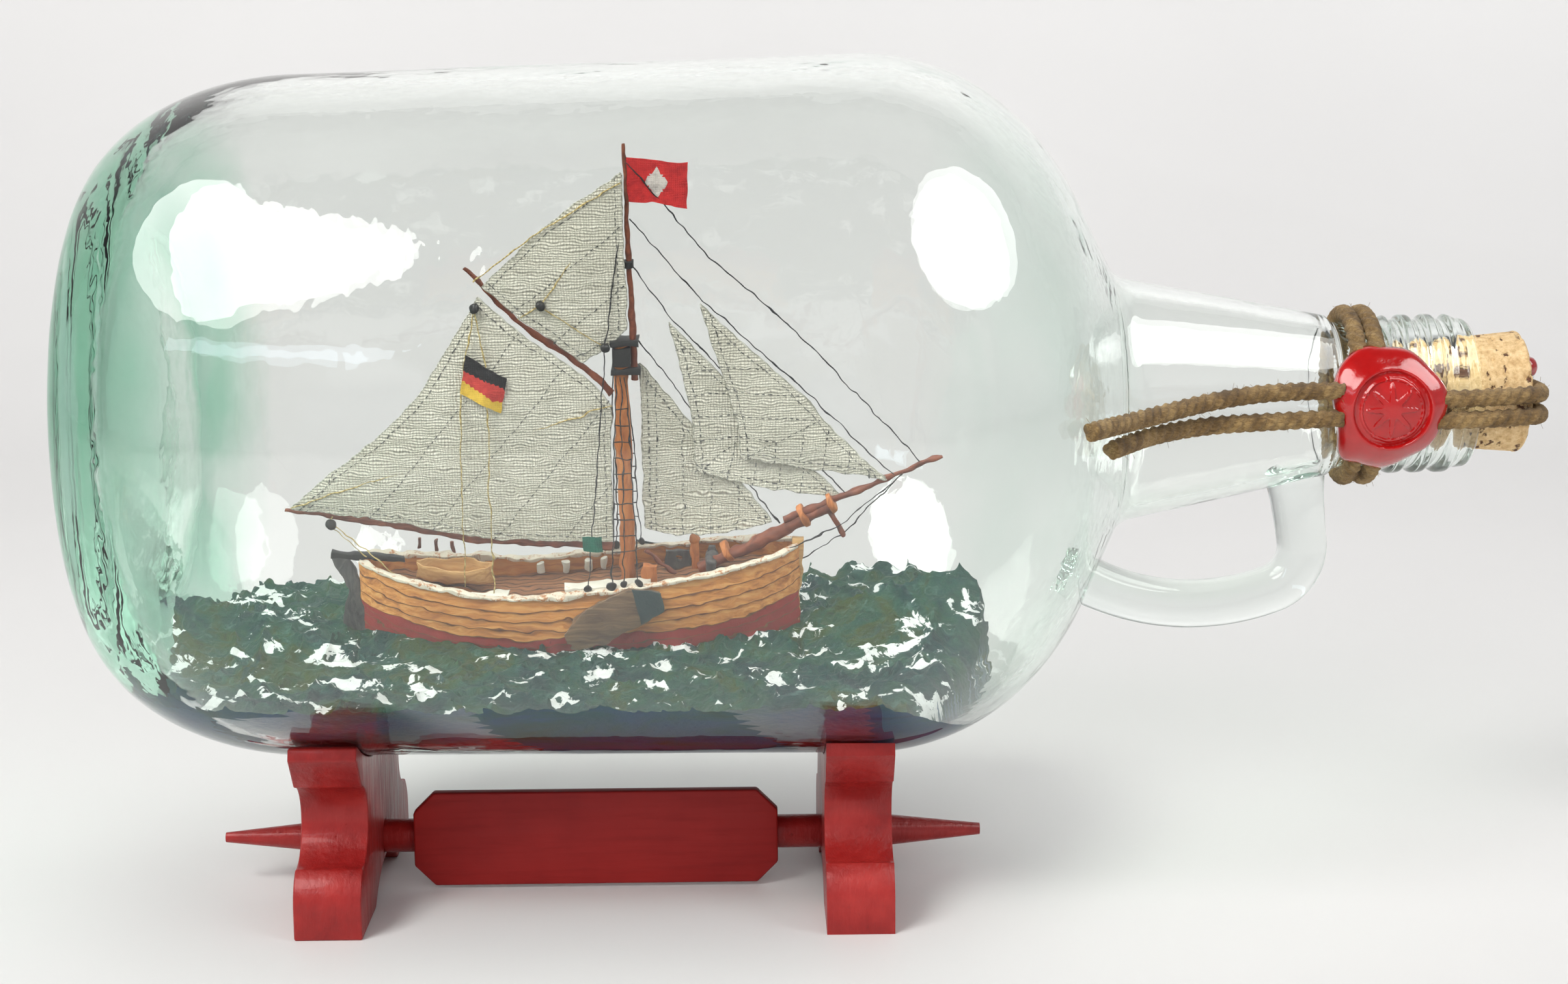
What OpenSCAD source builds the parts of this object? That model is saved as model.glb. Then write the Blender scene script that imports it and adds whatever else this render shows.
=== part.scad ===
// Ship in a bottle: a small sailing barge on a putty sea, inside a glass jug with a
// carrying handle. The jug is corked, tied with twine and sealed with wax, and it
// lies on a painted wooden stand. +X runs to the neck, -Y is the front, +Z is up.

/* [Bottle] */
// Length of the glass from its base to its mouth
bottle_len = 348.4; // [344:0.2:352]
// Outer radius of the body at its shoulder
body_r = 89; // [87:0.1:91]
// How much smaller the body's radius is at its base
body_taper = 3.4; // [2:0.1:5]
// Thickness of the glass
wall = 3; // [2.5:0.1:3.5]
// Thickness of the glass at the base
base_wall = 9; // [7:0.5:11]
// Radius of the handle's round bar
handle_r = 6.3; // [5.5:0.1:6.6]
// Radius of the bore in the mouth
bore_r = 14.6; // [14:0.1:15]

/* [Stand] */
// Thickness of each cradle
cradle_t = 16.9; // [14:0.1:18]
// Distance between the cradles' middles
cradle_gap = 131.7; // [125:0.1:138]
// Height of the cradles' arms
cradle_h = 48.6; // [47:0.2:51]
// Radius of the rod that joins the cradles
rod_r = 4.35; // [4:0.05:4.6]
// Length of the blank name board
board_len = 95; // [80:1:104]
// Height of the blank name board
board_h = 25; // [18:0.5:25]

/* [Ship] */
// How far the ship leans to the front, in degrees
heel = 14; // [10:1:16]
// Widest beam of the hull
beam = 26; // [24:0.5:28]
// Thickness of the sailcloth
sail_t = 0.4; // [0.3:0.05:0.6]
// Radius of the rigging lines
line_r = 0.16; // [0.12:0.01:0.2]

/* [Twine] */
// Radius of the twine
twine_r = 2.2; // [2:0.1:2.3]

/* [Hidden] */

$fn = 96;
eps = 0.01;

// The bottle's own frame has its axis along x, which rises a little to the neck, and
// its origin a little inside the base.
frame_x = -175.45;
frame_z = 124.1;
tilt = 0.65;
base_out = 7.9;
mouth_x = bottle_len - base_out;
shoulder_x = 185;

// Outline of the body: heel, two shoulder arcs, fillet, conical neck and finish.
heel_rx = 54;
heel_ry = 35;
shoulder_r1 = 58;
shoulder_r2 = 70;
shoulder_a1 = 44;
shoulder_a2 = 62;
fillet_r = 8;
neck_x0 = 253.9;
neck_r0 = 30.8;
neck_x1 = 303.5;
neck_r1 = 20.9;
throat_x = 306.8;
throat_r = 18.8;
neck_slope = atan((neck_r0 - neck_r1) / (neck_x1 - neck_x0));
fillet_c = [neck_x0 + fillet_r * sin(neck_slope), neck_r0 + fillet_r * cos(neck_slope)];
punt_r = 50;
punt_depth = 9;
finish_x = 317;
ridge_pitch = 6;
ridge_r = 20.4;
root_r = 19.1;
rim_r = 18;

wood_red = [0.48, 0.06, 0.06];
glass_green = [0.72, 0.88, 0.82, 0.35];
jute = [0.55, 0.42, 0.27];
spar_brown = [0.45, 0.2, 0.1];
linen = [0.72, 0.71, 0.66];
black_line = [0.08, 0.08, 0.09];
yellow_line = [0.7, 0.6, 0.35];

function body_at(x) = body_r - body_taper * (shoulder_x - x) / shoulder_x;
function arc(c, r, a0, a1, n) =
    [for (i = [0:n]) [c.x + r * cos(a0 + (a1 - a0) * i / n), c.y + r * sin(a0 + (a1 - a0) * i / n)]];

shoulder_c1 = [shoulder_x, body_r - shoulder_r1];
shoulder_c2 = shoulder_c1 + (shoulder_r1 - shoulder_r2) * [sin(shoulder_a1), cos(shoulder_a1)];

// Body and shoulder, set in from the outside of the glass by g
function oval(c, rx, ry, a0, a1, n) =
    [for (i = [0:n]) let (a = a0 + (a1 - a0) * i / n) [c.x + rx * cos(a), c.y + ry * sin(a)]];
function side_outline(heel_c, rx, ry, g) = concat(
    oval(heel_c, rx, ry, 180, 90, 12),
    arc(shoulder_c1, shoulder_r1 - g, 90, 90 - shoulder_a1, 8),
    arc(shoulder_c2, shoulder_r2 - g, 90 - shoulder_a1 - 4, 90 - shoulder_a2, 4),
    arc(fillet_c, fillet_r + g, 270 - shoulder_a2, 270 - neck_slope, 6));

// A shallow dome over the base, from the axis out to the foot ring
function punt(x0) = let (dome_r = (punt_r * punt_r + punt_depth * punt_depth) / 2 / punt_depth)
    arc([x0 + punt_depth - dome_r, 0], dome_r, 0, asin(punt_r / dome_r), 8);

module lathe(outline) {
    rotate([0, 90, 0]) rotate([0, 0, 90]) rotate_extrude() polygon([for (p = outline) [p.y, p.x]]);
}

module outer_glass() {
    heel_x = heel_rx - base_out;
    finish = [for (i = [0:2]) each [
        [finish_x + ridge_pitch * i, root_r],
        [finish_x + ridge_pitch * i + 1.6, ridge_r],
        [finish_x + ridge_pitch * i + 3.4, ridge_r],
        [finish_x + ridge_pitch * i + 5, root_r]]];
    lathe(concat(
        punt(-base_out),
        side_outline([heel_x, body_at(heel_x) - heel_ry], heel_rx, heel_ry, 0),
        [[neck_x1, neck_r1], [throat_x, throat_r]], finish,
        [[mouth_x - 1, root_r], [mouth_x, rim_r], [mouth_x, 0]]));
}

// The space inside the glass, made smaller all round by gap
module cavity(gap) {
    heel_x = heel_rx - base_out;
    rx = heel_rx - base_wall - gap;
    ry = heel_ry - wall - gap;
    end_x = mouth_x + 1 - 2 * gap;
    lathe(concat(
        punt(heel_x - rx),
        side_outline([heel_x, body_at(heel_x) - heel_ry], rx, ry, wall + gap),
        [[neck_x1, neck_r1 - wall - gap], [neck_x1 + 6, bore_r - gap], [end_x, bore_r - gap],
            [end_x, 0]]));
}

module on_bottle() {
    translate([frame_x, 0, frame_z]) rotate([0, -tilt, 0]) children();
}

// The handle's bar is two arcs and a short straight stretch, below the neck
grip_c = [271.5, 5.9];
grip_r = 60;
corner_r = 12;
grip_a0 = -37;
grip_a1 = 19.7;
corner_c = grip_c + (grip_r - corner_r) * [sin(grip_a1), -cos(grip_a1)];
corner_a1 = 97;

// Part of a ring in the xz plane, with angles counted from straight down towards +X.
// Each stretch is slightly thinner than the one before it and starts inside it.
thinner = 0.15;
module bend(c, r, a0, a1, bar_r) {
    translate([c.x, 0, c.y])
        rotate([90, 0, 0]) rotate([0, 0, a0 - 90])
            rotate_extrude(angle = a1 - a0) translate([r, 0]) circle(bar_r);
}

module handle() {
    end = corner_c + corner_r * [sin(corner_a1), -cos(corner_a1)];
    bend(grip_c, grip_r, grip_a0, grip_a1, handle_r);
    bend(corner_c, corner_r, grip_a1 - 4, corner_a1, handle_r - thinner);
    translate([end.x, 0, end.y]) rotate([0, 90 - corner_a1, 0])
        translate([0, 0, -1]) cylinder(h = 19.6, r = handle_r - 2 * thinner);
}

module bottle() {
    color(glass_green)
        on_bottle() difference() {
            union() {
                outer_glass();
                handle();
            }
            cavity(0);
        }
}

cork_out = 13.9;
cork_in = 22;
cork_r = 15.7;
module cork() {
    color([0.76, 0.6, 0.42])
        on_bottle() translate([mouth_x, 0, 0]) rotate([0, 90, 0]) {
            translate([0, 0, -cork_in]) cylinder(h = cork_in, r1 = bore_r - 0.5, r2 = bore_r);
            cylinder(h = cork_out, r1 = bore_r, r2 = cork_r);
        }
}

// A round tube along points, with 8 sides and a ring of them at each point
function unit(v) = v / norm(v);
function ahead(p, i) = unit(p[min(i + 1, len(p) - 1)] - p[max(i - 1, 0)]);
module tube(p, r0, r1) {
    sides = 8;
    n = len(p);
    rings = [for (i = [0:n - 1])
        let (t = ahead(p, i), u = unit(cross(t, [0.05, 1, 0.1])), v = cross(t, u),
            r = r0 + (r1 - r0) * i / (n - 1))
        for (k = [0:sides - 1]) p[i] + r * (u * cos(360 * k / sides) + v * sin(360 * k / sides))];
    walls = [for (i = [0:n - 2], k = [0:sides - 1])
        let (a = i * sides + k, b = i * sides + (k + 1) % sides) each [[a, b + sides, b],
            [a, a + sides, b + sides]]];
    first = [for (k = [0:sides - 1]) k];
    last = [for (k = [sides - 1:-1:0]) (n - 1) * sides + k];
    polyhedron(rings, concat([first], walls, [last]), convexity = 6);
}

// Points on a smooth curve through hand-chosen ones
function bezier(a, b, c, d, t) =
    a * pow(1 - t, 3) + b * 3 * t * pow(1 - t, 2) + c * 3 * t * t * (1 - t) + d * pow(t, 3);
function through(p, steps) = concat(
    [for (i = [0:len(p) - 2], k = [0:steps - 1])
        let (a = p[max(i - 1, 0)], b = p[i], c = p[i + 1], d = p[min(i + 2, len(p) - 1)])
        bezier(b, b + (c - a) / 6, c - (d - b) / 6, c, k / steps)],
    [p[len(p) - 1]]);

// Two turns of twine round the neck
ring_x = [309.6, 314.2];
module neck_cord() {
    color(jute)
        on_bottle() for (x = ring_x)
            translate([x, 0, 0]) rotate([0, 90, 0]) rotate_extrude()
                translate([throat_r + twine_r - 0.1, 0]) circle(twine_r);
}

// Two strands side by side, from the seal over the cork and back behind the neck
strand_z = [1.5, -3.9];
over_x = mouth_x + cork_out + twine_r;
module cork_cord() {
    half = [[319, -22.8], [330, -22.8], [342, -21.2], [352, -18.4], [355.6, -16], [over_x, -11],
        [over_x, -4]];
    back = [for (i = [len(half) - 1:-1:0]) [half[i].x, -half[i].y]];
    color(jute)
        on_bottle() for (z = strand_z)
            tube(through([for (p = concat(half, back)) [p.x, p.y, z]], 2), twine_r, twine_r);
}

upper_tail = [[304, -23.5, 4.2], [294, -25.8, 4.6], [283, -28.8, 4.6], [272, -32.6, 3.8],
    [262, -37.6, 2.6], [253, -44, 1.6], [246, -51, 1.2], [240.5, -58, 1.2], [236, -64, 1.2]];
lower_tail = [[304, -23.5, -2.6], [294, -25.4, -2.6], [283, -28, -2.6], [272, -31, -2.6],
    [262, -35.2, -3], [253, -41.8, -3.6], [247, -48.6, -4.2], [242, -55, -4.6]];
module cord_tail_upper() {
    color(jute) on_bottle() tube(through(upper_tail, 2), twine_r, twine_r);
}
module cord_tail_lower() {
    color(jute) on_bottle() tube(through(lower_tail, 2), twine_r, twine_r);
}

// The seal is a run puddle of wax with a stamped disc in its middle
seal_x = 316;
seal_front = -27;
seal_back = -21;
module wax_seal() {
    lobes = 7;
    puddle = [for (a = [0:10:350]) [(14 + 0.7 * sin(lobes * a)) * cos(a),
        (15.6 + 0.8 * sin(3 * a + 60)) * sin(a)]];
    color([0.7, 0.03, 0.03])
        on_bottle() translate([seal_x, seal_back, -0.6]) rotate([90, 0, 0]) difference() {
            linear_extrude(seal_back - seal_front) polygon(puddle);
            translate([0, 0, seal_back - seal_front - 1.2]) cylinder(h = 2, r = 9.3);
        }
}

module wax_dab() {
    color([0.7, 0.03, 0.03]) on_bottle() translate([mouth_x + cork_out + 1.4, -3, 6.6]) sphere(3);
}

// Stand: two cradles, a rod through them and a blank board
cradle_x = -123.95;
arm_y = 45;
foot_y = 45.4;
waist_c = [39.3, 26.9];
waist_r = 10.2;
knee_r = 11;
knee_z = 7.5;
arch_w = 21;
arch_h = 7.5;
rod_z = 12.8;
seat_gap = 0.3;
seat_end = shoulder_x + cradle_t;

module cradle_side() {
    arch_r = (arch_w * arch_w + arch_h * arch_h) / 2 / arch_h;
    difference() {
        union() {
            polygon([[-arm_y + 1, cradle_h], [-arm_y, cradle_h - 3], [-38, 36.9], [-waist_c.x, waist_c.y],
                [-30, 8], [30, 8], [waist_c.x, waist_c.y], [38, 36.9], [arm_y, cradle_h - 3],
                [arm_y - 1, cradle_h]]);
            translate([-foot_y + knee_r, 0]) square([2 * (foot_y - knee_r), 20]);
            for (s = [-1, 1]) {
                translate([s * (foot_y - knee_r), knee_z]) circle(knee_r);
                translate([s * (foot_y - knee_r / 2), knee_z / 2]) square([knee_r, knee_z],
                    center = true);
            }
        }
        for (s = [-1, 1]) translate([s * waist_c.x, waist_c.y]) circle(waist_r);
        translate([0, arch_h - arch_r]) circle(arch_r);
        translate([-60, -20]) square([120, 20]);
    }
}

module cradle(x) {
    color(wood_red)
        difference() {
            translate([x - cradle_t / 2, 0, 0])
                rotate([90, 0, 90]) linear_extrude(cradle_t) cradle_side();
            translate([x - cradle_t, 0, rod_z]) rotate([0, 90, 0]) cylinder(h = 2 * cradle_t, r = rod_r);
            on_bottle() rotate([0, 90, 0])
                cylinder(h = seat_end, r1 = body_at(0) + seat_gap, r2 = body_at(seat_end) + seat_gap);
        }
}
module cradle_left() { cradle(cradle_x); }
module cradle_right() { cradle(cradle_x + cradle_gap); }

// The rod's ends taper to blunt points outside the cradles
point_len = [25, 25];
module stand_rod() {
    half_t = cradle_t / 2;
    color(wood_red)
        translate([cradle_x - half_t, 0, rod_z]) rotate([0, 90, 0]) {
            cylinder(h = cradle_gap + cradle_t, r = rod_r);
            mirror([0, 0, 1]) cylinder(h = point_len[0], r1 = 4, r2 = 1.3);
            translate([0, 0, cradle_gap + cradle_t]) cylinder(h = point_len[1], r1 = 4.15, r2 = 1.5);
        }
}

board_z = 13.6;
board_mid = cradle_x + 64.2;
board_corner = 5.4;
board_y = -7;
board_t = 3.6;
module name_board() {
    w = board_len / 2;
    h = board_h / 2;
    c = board_corner;
    color(wood_red)
        difference() {
            translate([board_mid, board_y + board_t, board_z]) rotate([90, 0, 0]) linear_extrude(board_t)
                polygon([[-w, c - h], [c - w, -h], [w - c, -h], [w, c - h], [w, h - c], [w - c, h],
                    [c - w, h], [-w, h - c]]);
            translate([board_mid - board_len, 0, rod_z])
                rotate([0, 90, 0]) cylinder(h = 2 * board_len, r = rod_r);
        }
}

// The sea fills the lowest part of the body, from the base to a rounded end
sea_z = 65.1;
sea_slope = 3;
sea_end = 44.5;
sea_c = [-73.2, 15];
sea_r = 117.3;
module sea() {
    color([0.28, 0.38, 0.36])
        intersection() {
            on_bottle() cavity(0.1);
            translate([sea_c[0], sea_c[1], 0]) cylinder(h = 150, r = sea_r);
            union() {
                translate([-250, 0, sea_z]) rotate([sea_slope, 0, 0])
                    translate([0, -120, -60]) cube([250 + sea_end - 20, 240, 60]);
                translate([sea_end - 20, 0, sea_z]) rotate([sea_slope, 0, 0])
                    translate([0, 120, -60]) rotate([90, 0, 0]) linear_extrude(240)
                        polygon([[-eps, 0], [-eps, 60], [13, 60], [19, 56], [21, 50], [18, 40],
                            [8, 28], [4, 0]]);
            }
        }
}

// Ship's frame: x forward from the mast, y to the far side, z up the mast
ship_x = -50.45;
ship_z = 69;
module on_ship() {
    translate([ship_x, 0, ship_z]) rotate([heel, 0, 0]) children();
}

stern_x = -68.6;
bow_x = 44.8;
low_x = -26.5;
low_z = 13;
bow_rise = 9.8;
stern_rise = 6.6;
bulwark_h = 4.5;
bulwark_t = 1.5;
deck_t = 0.8;
hull_end = 0.985;
function along(u) = (bow_x + stern_x) / 2 + u * (bow_x - stern_x) / 2;
function half_beam(u) = beam / 2 * pow(1 - pow(abs(u), 2.6), 0.6);
function inside(u) = half_beam(u) - min(bulwark_t, 0.45 * half_beam(u));
function sheer(x) = x > low_x ? low_z + bow_rise * pow((x - low_x) / (bow_x - low_x), 1.4)
    : low_z + stern_rise * pow((low_x - x) / (low_x - stern_x), 1.5);
function keel(u) = -9 + 8 * pow(abs(u), 4);
function spread(n) = [for (i = [0:n]) hull_end * sin(180 * i / n - 90)];

// A solid lofted through rings of points that each lie at one x
module loft(rings) {
    m = len(rings[0]);
    n = len(rings);
    walls = [for (i = [0:n - 2], k = [0:m - 1])
        let (a = i * m + k, b = i * m + (k + 1) % m) each [[a, b + m, b], [a, a + m, b + m]]];
    polyhedron([for (r = rings) each r],
        concat([[for (k = [0:m - 1]) k]],
            walls, [[for (k = [m - 1:-1:0]) (n - 1) * m + k]]), convexity = 8);
}

// Half of a full round section from the rail (a = 0) to the keel (a = 90)
function side_point(x, b, top, bottom, a, s) =
    [x, s * b * pow(cos(a), 0.55), top + (bottom - top) * pow(sin(a), 0.9)];
function boat_ring(x, b, ib, top, bottom, floor_z) = concat(
    [for (a = [0:15:75]) side_point(x, b, top, bottom, a, -1)], [[x, 0, bottom]],
    [for (a = [75:-15:0]) side_point(x, b, top, bottom, a, 1)],
    [[x, ib, top], [x, ib, floor_z], [x, -ib, floor_z], [x, -ib, top]]);

module hull_body() {
    loft([for (u = spread(24)) let (x = along(u))
        boat_ring(x, half_beam(u), inside(u), sheer(x), keel(u), sheer(x) - bulwark_h)]);
}
module hull() { color([0.66, 0.42, 0.2]) on_ship() hull_body(); }

module deck() {
    color([0.5, 0.3, 0.18])
        on_ship() loft([for (u = spread(24)) let (x = along(u),
            b = inside(u) - 0.05, z = sheer(x) - bulwark_h)
            [[x, -b, z + eps], [x, b, z + eps], [x, b, z + deck_t], [x, -b, z + deck_t]]]);
}

module rail_cap() {
    color([0.85, 0.78, 0.7])
        on_ship() for (s = [-1, 1]) loft([for (u = s * spread(24))
            let (x = along(u), a = s * (half_beam(u) + 0.5), b = s * max(inside(u) - 0.3, 0.1),
                z = sheer(x) + eps)
            [[x, a, z], [x, a, z + 0.9], [x, b, z + 0.9], [x, b, z]]]);
}

// A flat piece in the ship's fore-and-aft plane, t thick about y
module plate(outline, y, t) {
    translate([0, y + t / 2, 0]) rotate([90, 0, 0]) linear_extrude(t) polygon(outline);
}

module stem_post() {
    color([0.72, 0.52, 0.3]) on_ship() plate([[40.4, -6], [43.6, -6], [45.8, 24.6], [42.6, 24.6]], 0, 2);
}
module rudder() {
    color([0.2, 0.2, 0.22])
        on_ship() plate([[-75.1, 20.4], [-71.2, 20.4], [-67.6, 12], [-66.6, 4], [-66, -5], [-74.6, -5],
            [-73.6, 4], [-71.4, 11]], 0, 1.8);
}
module tiller() {
    color([0.1, 0.1, 0.11])
        on_ship() translate([-75.4, -0.9, 20.4]) rotate([0, 5, 0]) cube([19, 1.8, 1.5]);
}

leeboard = [[8.6, 15.8], [1, 16.6], [-7, 13.4], [-14, 7.8], [-16, 4.4], [-15, 1.4], [-11.6, 0.2],
    [-6, 1.8], [4.6, 7.4], [9, 11.6]];
leeboard_y = 14.2;
module leeboard_near() { color([0.42, 0.34, 0.28]) on_ship() plate(leeboard, -leeboard_y, 1.6); }
module leeboard_far() { color([0.42, 0.34, 0.28]) on_ship() plate(leeboard, leeboard_y, 1.6); }

function deck_at(x) = sheer(x) - bulwark_h + deck_t;
module on_deck(x, y) { on_ship() translate([x, y, deck_at(x)]) children(); }

module hatch_house() {
    color([0.86, 0.84, 0.8]) on_deck(-15.6, -8.6) rotate([0, -4, 0]) cube([22, 4.4, 4]);
}
module aft_box() {
    color([0.82, 0.74, 0.68]) on_deck(-39.4, -9.6) cube([9.6, 4, 2.6]);
}
module folded_sail() {
    color([0.9, 0.9, 0.88])
        on_deck(-26.4, -8.2) translate([0, 0, 1.4]) rotate([0, 90, 0]) {
            cylinder(h = 8, r = 1.5);
            sphere(1.5);
            translate([0, 0, 8]) sphere(1.5);
        }
}

dinghy_len = 20;
module dinghy() {
    color([0.78, 0.7, 0.52])
        on_deck(-44.5, 1.5) translate([0, 0, 0.9]) rotate([0, 4, 0])
            loft([for (i = [0:10]) let (u = 0.97 * (i / 5 - 1), b = 3.6 * pow(1 - pow(abs(u), 2.4),
                0.6), top = 5 + 0.8 * u * u)
                boat_ring(u * dinghy_len / 2, b, b - min(0.5, 0.4 * b),
                    top, 0.6 * u * u, 1.8 + 0.4 * u * u)]);
}

fender_x = [-23.2, -16.4, -10.9, -6.6];
module fenders() {
    color([0.88, 0.86, 0.78])
        on_ship() for (x = fender_x) translate([x, 10.2, sheer(x) - 3.3])
            cylinder(h = 3, r = 0.95, $fn = 24);
}
module tabernacle() {
    color([0.72, 0.42, 0.16]) on_deck(4, -4.2) cube([3.6, 1.8, 6.4]);
}
module windlass() {
    color([0.42, 0.24, 0.12])
        on_deck(21.6, 0) {
            translate([0, 5, 3]) rotate([90, 0, 0]) cylinder(h = 10, r = 1.4, $fn = 32);
            for (y = [-5, 3.6]) translate([-1, y, 0]) cube([2, 1.4, 5]);
        }
}
module bow_bitt() {
    color([0.6, 0.4, 0.2])
        on_deck(16.4, 2.6) {
            cube([2, 2, 8]);
            translate([1, 1, 8.6]) sphere(1.4, $fn = 32);
        }
}
module windlass_bar() {
    color([0.35, 0.18, 0.1]) on_ship() between([4.6, -1.5, 21.4], [12.4, -1.5, 15.4], 0.55);
}
module hawse_panel() {
    color([0.55, 0.54, 0.52])
        on_deck(9.5, 5.6) difference() {
            cube([6.6, 0.9, 5.4]);
            translate([3.6, 2, 2.6]) rotate([90, 0, 0]) cylinder(h = 4, r = 0.8, $fn = 24);
        }
}

// A straight round bar from a to b
module between(a, b, r) {
    d = b - a;
    translate(a) rotate([0, acos(d.z / norm(d)), atan2(d.y, d.x)]) cylinder(h = norm(d), r = r, $fn = 24);
}
module line(p) { tube(p, line_r, line_r); }

mast_r = 2;
cap_z0 = 70.4;
cap_z1 = 79.4;
module lower_mast() {
    color([0.7, 0.4, 0.18]) on_ship()
        translate([0, 0, deck_at(0)]) cylinder(h = cap_z1 - deck_at(0) - 1, r1 = mast_r, r2 = 1.8);
}
topmast_foot = [3.3, 0, 68.6];
truck = [2.2, 0, 128.1];
module topmast() {
    d = truck - topmast_foot;
    color(spar_brown) on_ship() translate(topmast_foot) rotate([0, atan2(d.x, d.z), 0])
        cylinder(h = norm(d), r1 = 1, r2 = 0.4);
}
module mast_cap() {
    color([0.12, 0.11, 0.1])
        on_ship() {
            for (z = [cap_z0, cap_z1 - 1.6]) translate([-2.5, -2.4, z]) cube([7.3, 4.8, 1.6]);
            translate([-2.2, -2.2, cap_z0 + 2.2]) cube([4.4, 4.4, 4.6]);
            translate([2.7, 0, 97.4]) cylinder(h = 2, r = 1.3);
        }
}

boom_path = [[-3.4, 0, 22.5], [-21.6, 0, 23.6], [-37.4, 0, 24.8], [-55.9, 0, 28.7], [-80, 0, 32.6],
    [-86.4, 0, 33.7]];
gaff_path = [[-2.6, 0, 64.6], [-9, 0, 71.6], [-25.9, 0, 84.4], [-34.6, 0, 94.4], [-37.8, 0, 97.6]];
module boom() { color(spar_brown) on_ship() tube(through(boom_path, 3), 1, 0.6); }
module gaff() { color(spar_brown) on_ship() tube(through(gaff_path, 3), 1, 0.5); }

sprit_heel = [18.6, 0, 15.6];
sprit_end = [53.6, 0, 33.6];
jib_heel = [40, 0, 29.2];
jib_tip = [80.6, 0, 46.6];
module bowsprit() {
    d = sprit_end - sprit_heel;
    color(spar_brown) on_ship() translate(sprit_heel) rotate([0, atan2(d.x, d.z), 0])
        cylinder(h = norm(d), r1 = 1.8, r2 = 1.4);
}
module jib_boom() {
    d = jib_tip - jib_heel;
    color(spar_brown) on_ship() translate(jib_heel) rotate([0, atan2(d.x, d.z), 0])
        cylinder(h = norm(d), r1 = 1.05, r2 = 0.5);
}
module bowsprit_bands() {
    d = sprit_end - sprit_heel;
    color([0.75, 0.5, 0.25])
        on_ship() for (s = [8, 30, 38]) translate(sprit_heel + unit(d) * s)
            rotate([0, atan2(d.x, d.z), 0]) translate([-1.1, 0, 0]) cylinder(h = 1.4, r = 2.9);
}
module dolphin_striker() {
    color(spar_brown) on_ship() between([52.2, 0, 31.8], [55.8, 0, 24.6], 0.7);
}

module sail(outline, y) { color(linen) on_ship() plate(outline, y, sail_t); }
module mainsail() {
    sail([[-3.6, 24.4], [-2.9, 62.6], [-9.4, 69.8], [-26.4, 82.6], [-34.6, 90.6], [-39.9, 81.5],
        [-47.7, 69], [-54, 60.7], [-62.9, 52.4], [-78, 40.2], [-84.6, 34.6], [-56, 30.3],
        [-37.4, 26.2], [-21.6, 25]], -1.3);
}
module topsail() {
    sail([[1.4, 121.6], [-10.8, 113.1], [-21.5, 104.7], [-27.3, 99], [-33.4, 93.2], [-25.9, 86.4],
        [-9.6, 73.6], [-4.6, 76.6], [1.6, 82.4]], -1.3);
}
module fore_staysail() { sail([[4.6, 72.6], [37.6, 28.8], [26, 26], [12.2, 25.4], [4.8, 27.2]], 0.9); }
module jib() { sail([[12.1, 83.6], [55, 35.8], [36, 38.6], [18.4, 43.5], [17, 62]], 0); }
module flying_jib() {
    sail([[20, 88.4], [31.3, 76.9], [43.9, 65.2], [54, 52.9], [66.4, 40.6], [47, 44.4], [29.5, 47.1],
        [28, 60]], -0.9);
}
module masthead_flag() {
    color([0.7, 0.12, 0.1]) on_ship() plate([[2.6, 125.2], [17.6, 123.5], [17.2, 112.4], [2.6, 114.1]],
        0, 0.3);
}
module ensign() {
    color([0.75, 0.2, 0.15]) on_ship() plate([[-37.8, 76.3], [-28, 70.2], [-30.3, 61.1],
        [-40.1, 66.2]], -2.6, 0.3);
}
module green_pennant() {
    color([0.05, 0.35, 0.3]) on_ship() plate([[-10.4, 30.6], [-5.8, 30.3], [-5.8, 26], [-10.4, 26.2]],
        -11, 0.3);
}

// Shrouds run from the mast's cap to the rails, with ratlines between them
shroud_x = [-3.6, -0.4, 3.2];
shroud_top = 70;
rail_y = 12.6;
function shroud_at(k, z, s) = let (x = shroud_x[k], z0 = sheer(x) + 0.9, f = (z - z0) / (shroud_top - z0))
    [x * (1 - f) + f * (k - 1) * 1.2, s * (rail_y * (1 - f) + 2.3 * f), z];
module shrouds(s) {
    color(black_line)
        on_ship() {
            for (k = [0:2]) line([shroud_at(k, sheer(shroud_x[k]) + 0.9, s),
                shroud_at(k, shroud_top, s)]);
            for (z = [26:4:62]) line([shroud_at(0, z, s), shroud_at(2, z, s)]);
        }
}
module shrouds_near() { shrouds(-1); }
module shrouds_far() { shrouds(1); }

module fore_stays() {
    color(black_line)
        on_ship() {
            line([[2.6, 0, 124], [22.2, 0, 100.2], [39.6, 0, 84], [53.3, 0, 69.6], [65.9, 0, 55.4],
                [75, 0, 44.6]]);
            line([[3.4, -0.9, 109.8], [20.6, -0.9, 89.2], [44.8, -0.9, 66], [68, -0.9, 41.6]]);
            line([[3.6, 0, 97.9], [12.9, 0, 84.4], [56.6, 0, 36]]);
            line([[4.4, 0.9, 79], [39, 0.9, 28.2]]);
        }
}
module backstays() {
    color(black_line)
        on_ship() {
            line([[1.6, -1, 113], [-3.7, -2.8, 77.9], [-9.7, -rail_y, sheer(-9.7) + 0.9]]);
            line([[-1.6, 2, 75.5], [-6.3, rail_y, sheer(-6.3) + 0.9]]);
        }
}
module running_rigging() {
    color(yellow_line)
        on_ship() {
            line([[-84.4, -1.9, 35], [-41, -2.2, 49.5], [-2.4, -2.4, 62.5]]);
            line([[-35.6, -1.9, 94.8], [-20.8, -2, 105.8], [1.2, -1.9, 119.4]]);
            line([[-25, -1.2, 85], [-19.4, -2.4, 88.5], [1, -1.2, 116]]);
            line([[-19.4, -2.4, 88.5], [-3.7, -2.8, 77.9]]);
        }
}
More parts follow.
